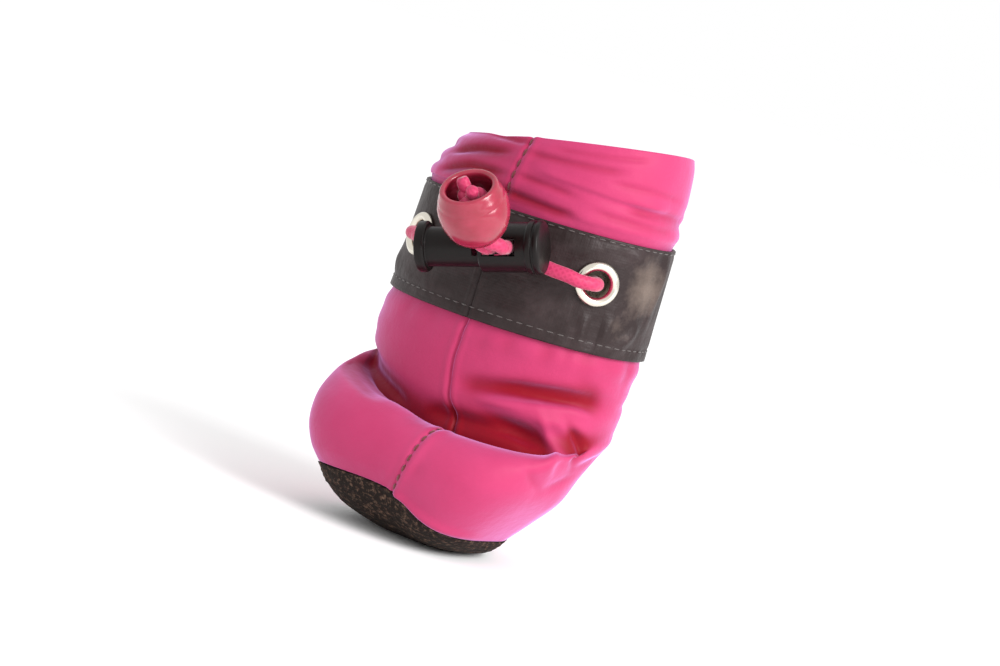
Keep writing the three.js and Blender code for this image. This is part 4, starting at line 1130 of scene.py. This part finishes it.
def makeBand():
    angles = denserNear(bandSizes["columns"], [(2.2, 4, 5), (95, 16, 0.6), (58, 12, 0.6)])
    places = np.linspace(*bandPlaces, bandSizes["rows"])
    outer = bandPoint(places[:, None], angles[None, :])[0]
    topEdge = (bandPoint(places[-1:, None], angles[None, :], -0.2)[0] + np.array((0, 0, 0.12)))
    footEdge = (bandPoint(places[:1, None], angles[None, :], -0.2)[0] - np.array((0, 0, 0.12)))
    back = surfacePoint(places[::-3, None], angles[None, :], boot["gap"] - 0.22)[0]
    # a painted highlight: the beige patch, from the right eyelet round to the side
    up = outer[..., 2]
    paintedHighlight = 0.62 * np.exp(-((turnedFrom(angles, 83) / 18) ** 2))[None, :] * np.exp(-(((up - 55.5) / 6) ** 2))
    paintedHighlight = paintedHighlight + 0.35 * np.exp(-((turnedFrom(angles, 66) / 14) ** 2))[None, :] * np.exp(-(((up - 47) / 3) ** 2))
    blank = np.zeros((1, len(angles)))
    paintedHighlight = np.concatenate([paintedHighlight[:1], paintedHighlight, paintedHighlight[-1:], np.repeat(blank, len(back), 0)])
    mesh = ringMesh(np.concatenate([footEdge, outer, topEdge, back]), closed=True, shade=("paintedHighlight", paintedHighlight))
    piece = addPiece("reflectiveBand", outward(mesh), reflectiveTape)
    cutAway(piece, eyeletPunch())
    return piece


reflectiveBand = makeBand()
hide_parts("reflective_band")


def oneStitch(mesh):  # a thread that dips into the cloth at both ends
    return bmesh.ops.create_uvsphere(mesh, u_segments=6, v_segments=5, radius=0.5,
        matrix=Matrix.Rotation(math.pi / 2, 4, "Y"))["verts"]


def stitchesAlong(points, normals, pitch, size):
    # a matrix for each stitch, evenly spaced along a line of points
    steps = np.linalg.norm(np.diff(points, axis=0), axis=1)
    length = np.concatenate([[0], np.cumsum(steps)])
    spots = []
    for at in np.arange(pitch / 2, length[-1], pitch):
        point, ahead, out = (
            np.array([np.interp(at + shift, length, line[:, k]) for k in range(3)])
            for shift, line in ((0, points), (0.3, points), (0, normals)))
        spots.append(standing(point, ahead - point, out, size))
    return spots


def makeBandStitches():
    size = (bandSizes["stitchLength"], bandSizes["stitchWidth"], bandSizes["stitchWidth"] * 0.8)
    low, high = (inset / boot["bandHeight"] * 2 for inset in bandSizes["stitchInsets"])
    turns = np.linspace(-math.pi, math.pi, 900)
    spots = []
    for place in (placeOf["bandFoot"] + low, placeOf["bandHead"] - high):
        points, normals = bandPoint(np.full(len(turns), place), turns, 0.05)
        spots += stitchesAlong(points, normals, bandSizes["stitchPitch"], size)
    return addPiece("bandStitches", outward(scatterMesh(spots, oneStitch)), greyThread)


makeBandStitches()


def makeSeamStitches():
    # the seam is sewn down on the collar and over the toe
    spots = []
    toe, collar = (0.15, placeOf["foldLip"] - 0.1), (placeOf["bandHead"] + 0.15, placeOf["collarEdge"] - 0.05)
    for low, high in (toe, collar):
        place = np.linspace(low, high, 200)
        line = np.radians(np.interp(place, range(len(frontSeam)), frontSeam))
        shift = shell["stitchShift"] / (boot["shaftWidth"] / 2)
        points, normals = shellPoint(place, line + shift, shell["stitchLift"])
        spots += stitchesAlong(points, normals, shell["stitchPitch"], shell["stitchSize"])
    return addPiece("seamStitches", outward(scatterMesh(spots, oneStitch)), redThread)


makeSeamStitches()
print("band and stitches made")


# Eyelets, one rolled shell each
def makeEyelet(side):
    centre, outside = eyeletSpots[side]
    face = 2 * boot["gap"] + boot["bandThickness"]
    sag = (eyelet["flange"] / 2) ** 2 / boot["shaftDepth"]
    back = -boot["wall"] - boot["gap"] - sag
    hole, tube, flange, thick = eyelet["hole"] / 2, eyelet["tube"] / 2, eyelet["flange"] / 2, eyelet["thick"]
    profile = [(hole, back - thick + 0.2), (hole + 0.2, back - thick), (flange - 0.5, back - thick),
               (flange - 0.3, back - thick + 0.2),
               (flange - 0.3, back - 0.1), (flange - 0.5, back), (tube, back), (tube, face - 0.25),
               (flange - 0.25, face - 0.3), (flange, face - 0.1)]
    for turn in range(10, 180, 17):  # the rolled rim
        bend = math.radians(turn)
        middle, half = (flange + hole) / 2, (flange - hole) / 2
        profile.append((middle + half * math.cos(bend), face - 0.1 + thick * math.sin(bend)))
    profile.append((hole, face - 0.2))
    piece = addPiece("eyelet_" + side + "_ring", spunMesh(profile, outside, centre, 56), nickel)
    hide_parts("eyelet_" + side)


for side in eyeletSpots:
    makeEyelet(side)
print("eyelets made")


# Cord lock: ribbed barrel and spring plunger
def slotCutter(start, end):
    mesh = bmesh.new()
    bmesh.ops.create_cube(mesh, size=1.0)
    width = drawcord["diameter"] + 2 * boot["gap"]
    size = Matrix.Diagonal(((end - start) * mm, 2 * lock["barrel"] * mm, width * mm, 1))
    turn = Matrix((lockAlong, lockOut, -lockUp)).transposed().to_4x4()
    place = Matrix.Translation(Vector(lockPoint((start + end) / 2, 0)) * mm)
    bmesh.ops.transform(mesh, matrix=place @ turn @ size, verts=mesh.verts)
    return cutterPiece(mesh)


def edged(piece):  # the small radius that a mould leaves
    bevel = piece.modifiers.new("moulded edge", "BEVEL")
    bevel.width, bevel.segments = lock["edge"] * mm, 2
    bevel.limit_method, bevel.angle_limit = "ANGLE", math.radians(40)
    bevel.harden_normals = False


def makeLock():
    radius, waist = lock["barrel"] / 2, lock["barrel"] / 2 - 0.35
    bore, end, rib = lock["plunger"] / 2 + lock["clearance"], lock["length"], 0.9
    profile = [(0, end), (radius - 0.6, end), (radius - 0.15, end - 0.15), (radius, end - 0.5), (radius, end - rib),
               (waist, end - rib), (waist, end - 1.6 * rib),
               (radius, end - 1.6 * rib), (radius, end - 2.6 * rib), (waist, end - 2.9 * rib),
               (waist, barrelMouth + 0.4),
               (waist - 0.4, barrelMouth), (bore, barrelMouth), (bore, boreEnd), (0, boreEnd)]
    barrel = addPiece("lockBarrel", spunMesh(profile, lockAlong, lockStart, 64), lockPlastic)
    cutAway(barrel, slotCutter(strandsStart - boot["gap"], strandsEnd + boot["gap"]))
    edged(barrel)
    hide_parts("cord_lock_barrel")
    radius, flange, thick = lock["plunger"] / 2, lock["flange"] / 2, lock["flangeThick"]
    profile = [(0, 0.25), (flange - 1.6, 0.2), (flange - 1.2, 0), (flange - 0.5, 0), (flange - 0.1, 0.15),
               (flange, 0.45), (flange, thick - 0.35), (flange - 0.3, thick),
               (radius + 0.2, thick), (radius, thick + 0.2), (radius, plungerTip - 0.3), (radius - 0.3, plungerTip),
               (0, plungerTip)]
    plunger = addPiece("lockPlunger", spunMesh(profile, lockAlong, lockStart, 64), lockPlastic,
        "plunger")
    cutAway(plunger, slotCutter(strandsStart - boot["gap"] - lock["travel"], strandsEnd + boot["gap"]))
    edged(plunger)
    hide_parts("cord_lock_plunger")


makeLock()
print("cord lock made")


# Floor, backdrop and light
# the sun also keeps the floor as white as the backdrop, all the way out; lamps: kind, place, size, power
studio = {"floor": "F8F8F8", "floorSize": 4.0, "backdrop": "FFFFFF", "lookAt": (0, 0, 0.04), "lamps": {
    "sun": ("SUN", (0.86, -0.3, 0.62), math.radians(25), 0.9), "key": ("AREA", (0.5, -0.1, 0.3), 0.3, 3.0)}}


def makeStage():
    mesh = bmesh.new()
    bmesh.ops.create_grid(mesh, x_segments=1, y_segments=1, size=studio["floorSize"])
    data = bpy.data.meshes.new("floor")
    mesh.to_mesh(data)
    mesh.free()
    material, tree, shader = newMaterial("white studio floor", **{
        "Base Color": hexColour(studio["floor"]), "Roughness": 0.9, "Specular IOR Level": 0.0})
    data.materials.append(material)
    floor = bpy.data.objects.new("floor", data)
    floor.location.z = -0.0001
    bpy.context.scene.collection.objects.link(floor)
    world = bpy.data.worlds.new("studio")
    world.use_nodes = True
    world.node_tree.nodes["Background"].inputs["Color"].default_value = hexColour(studio["backdrop"])
    world.node_tree.nodes["Background"].inputs["Strength"].default_value = 1.0
    bpy.context.scene.world = world
    for name, (kind, place, size, power) in studio["lamps"].items():
        lamp = bpy.data.objects.new(name, bpy.data.lights.new(name, kind))
        lamp.data.energy = power
        if kind == "SUN":
            lamp.data.angle = size
        else:
            lamp.data.size = size
        lamp.location = place
        lamp.rotation_euler = (Vector(studio["lookAt"]) - Vector(place)).to_track_quat("-Z", "Y").to_euler()
        bpy.context.scene.collection.objects.link(lamp)
    bpy.context.scene.view_settings.view_transform = "Standard"


makeStage()
print("stage made")
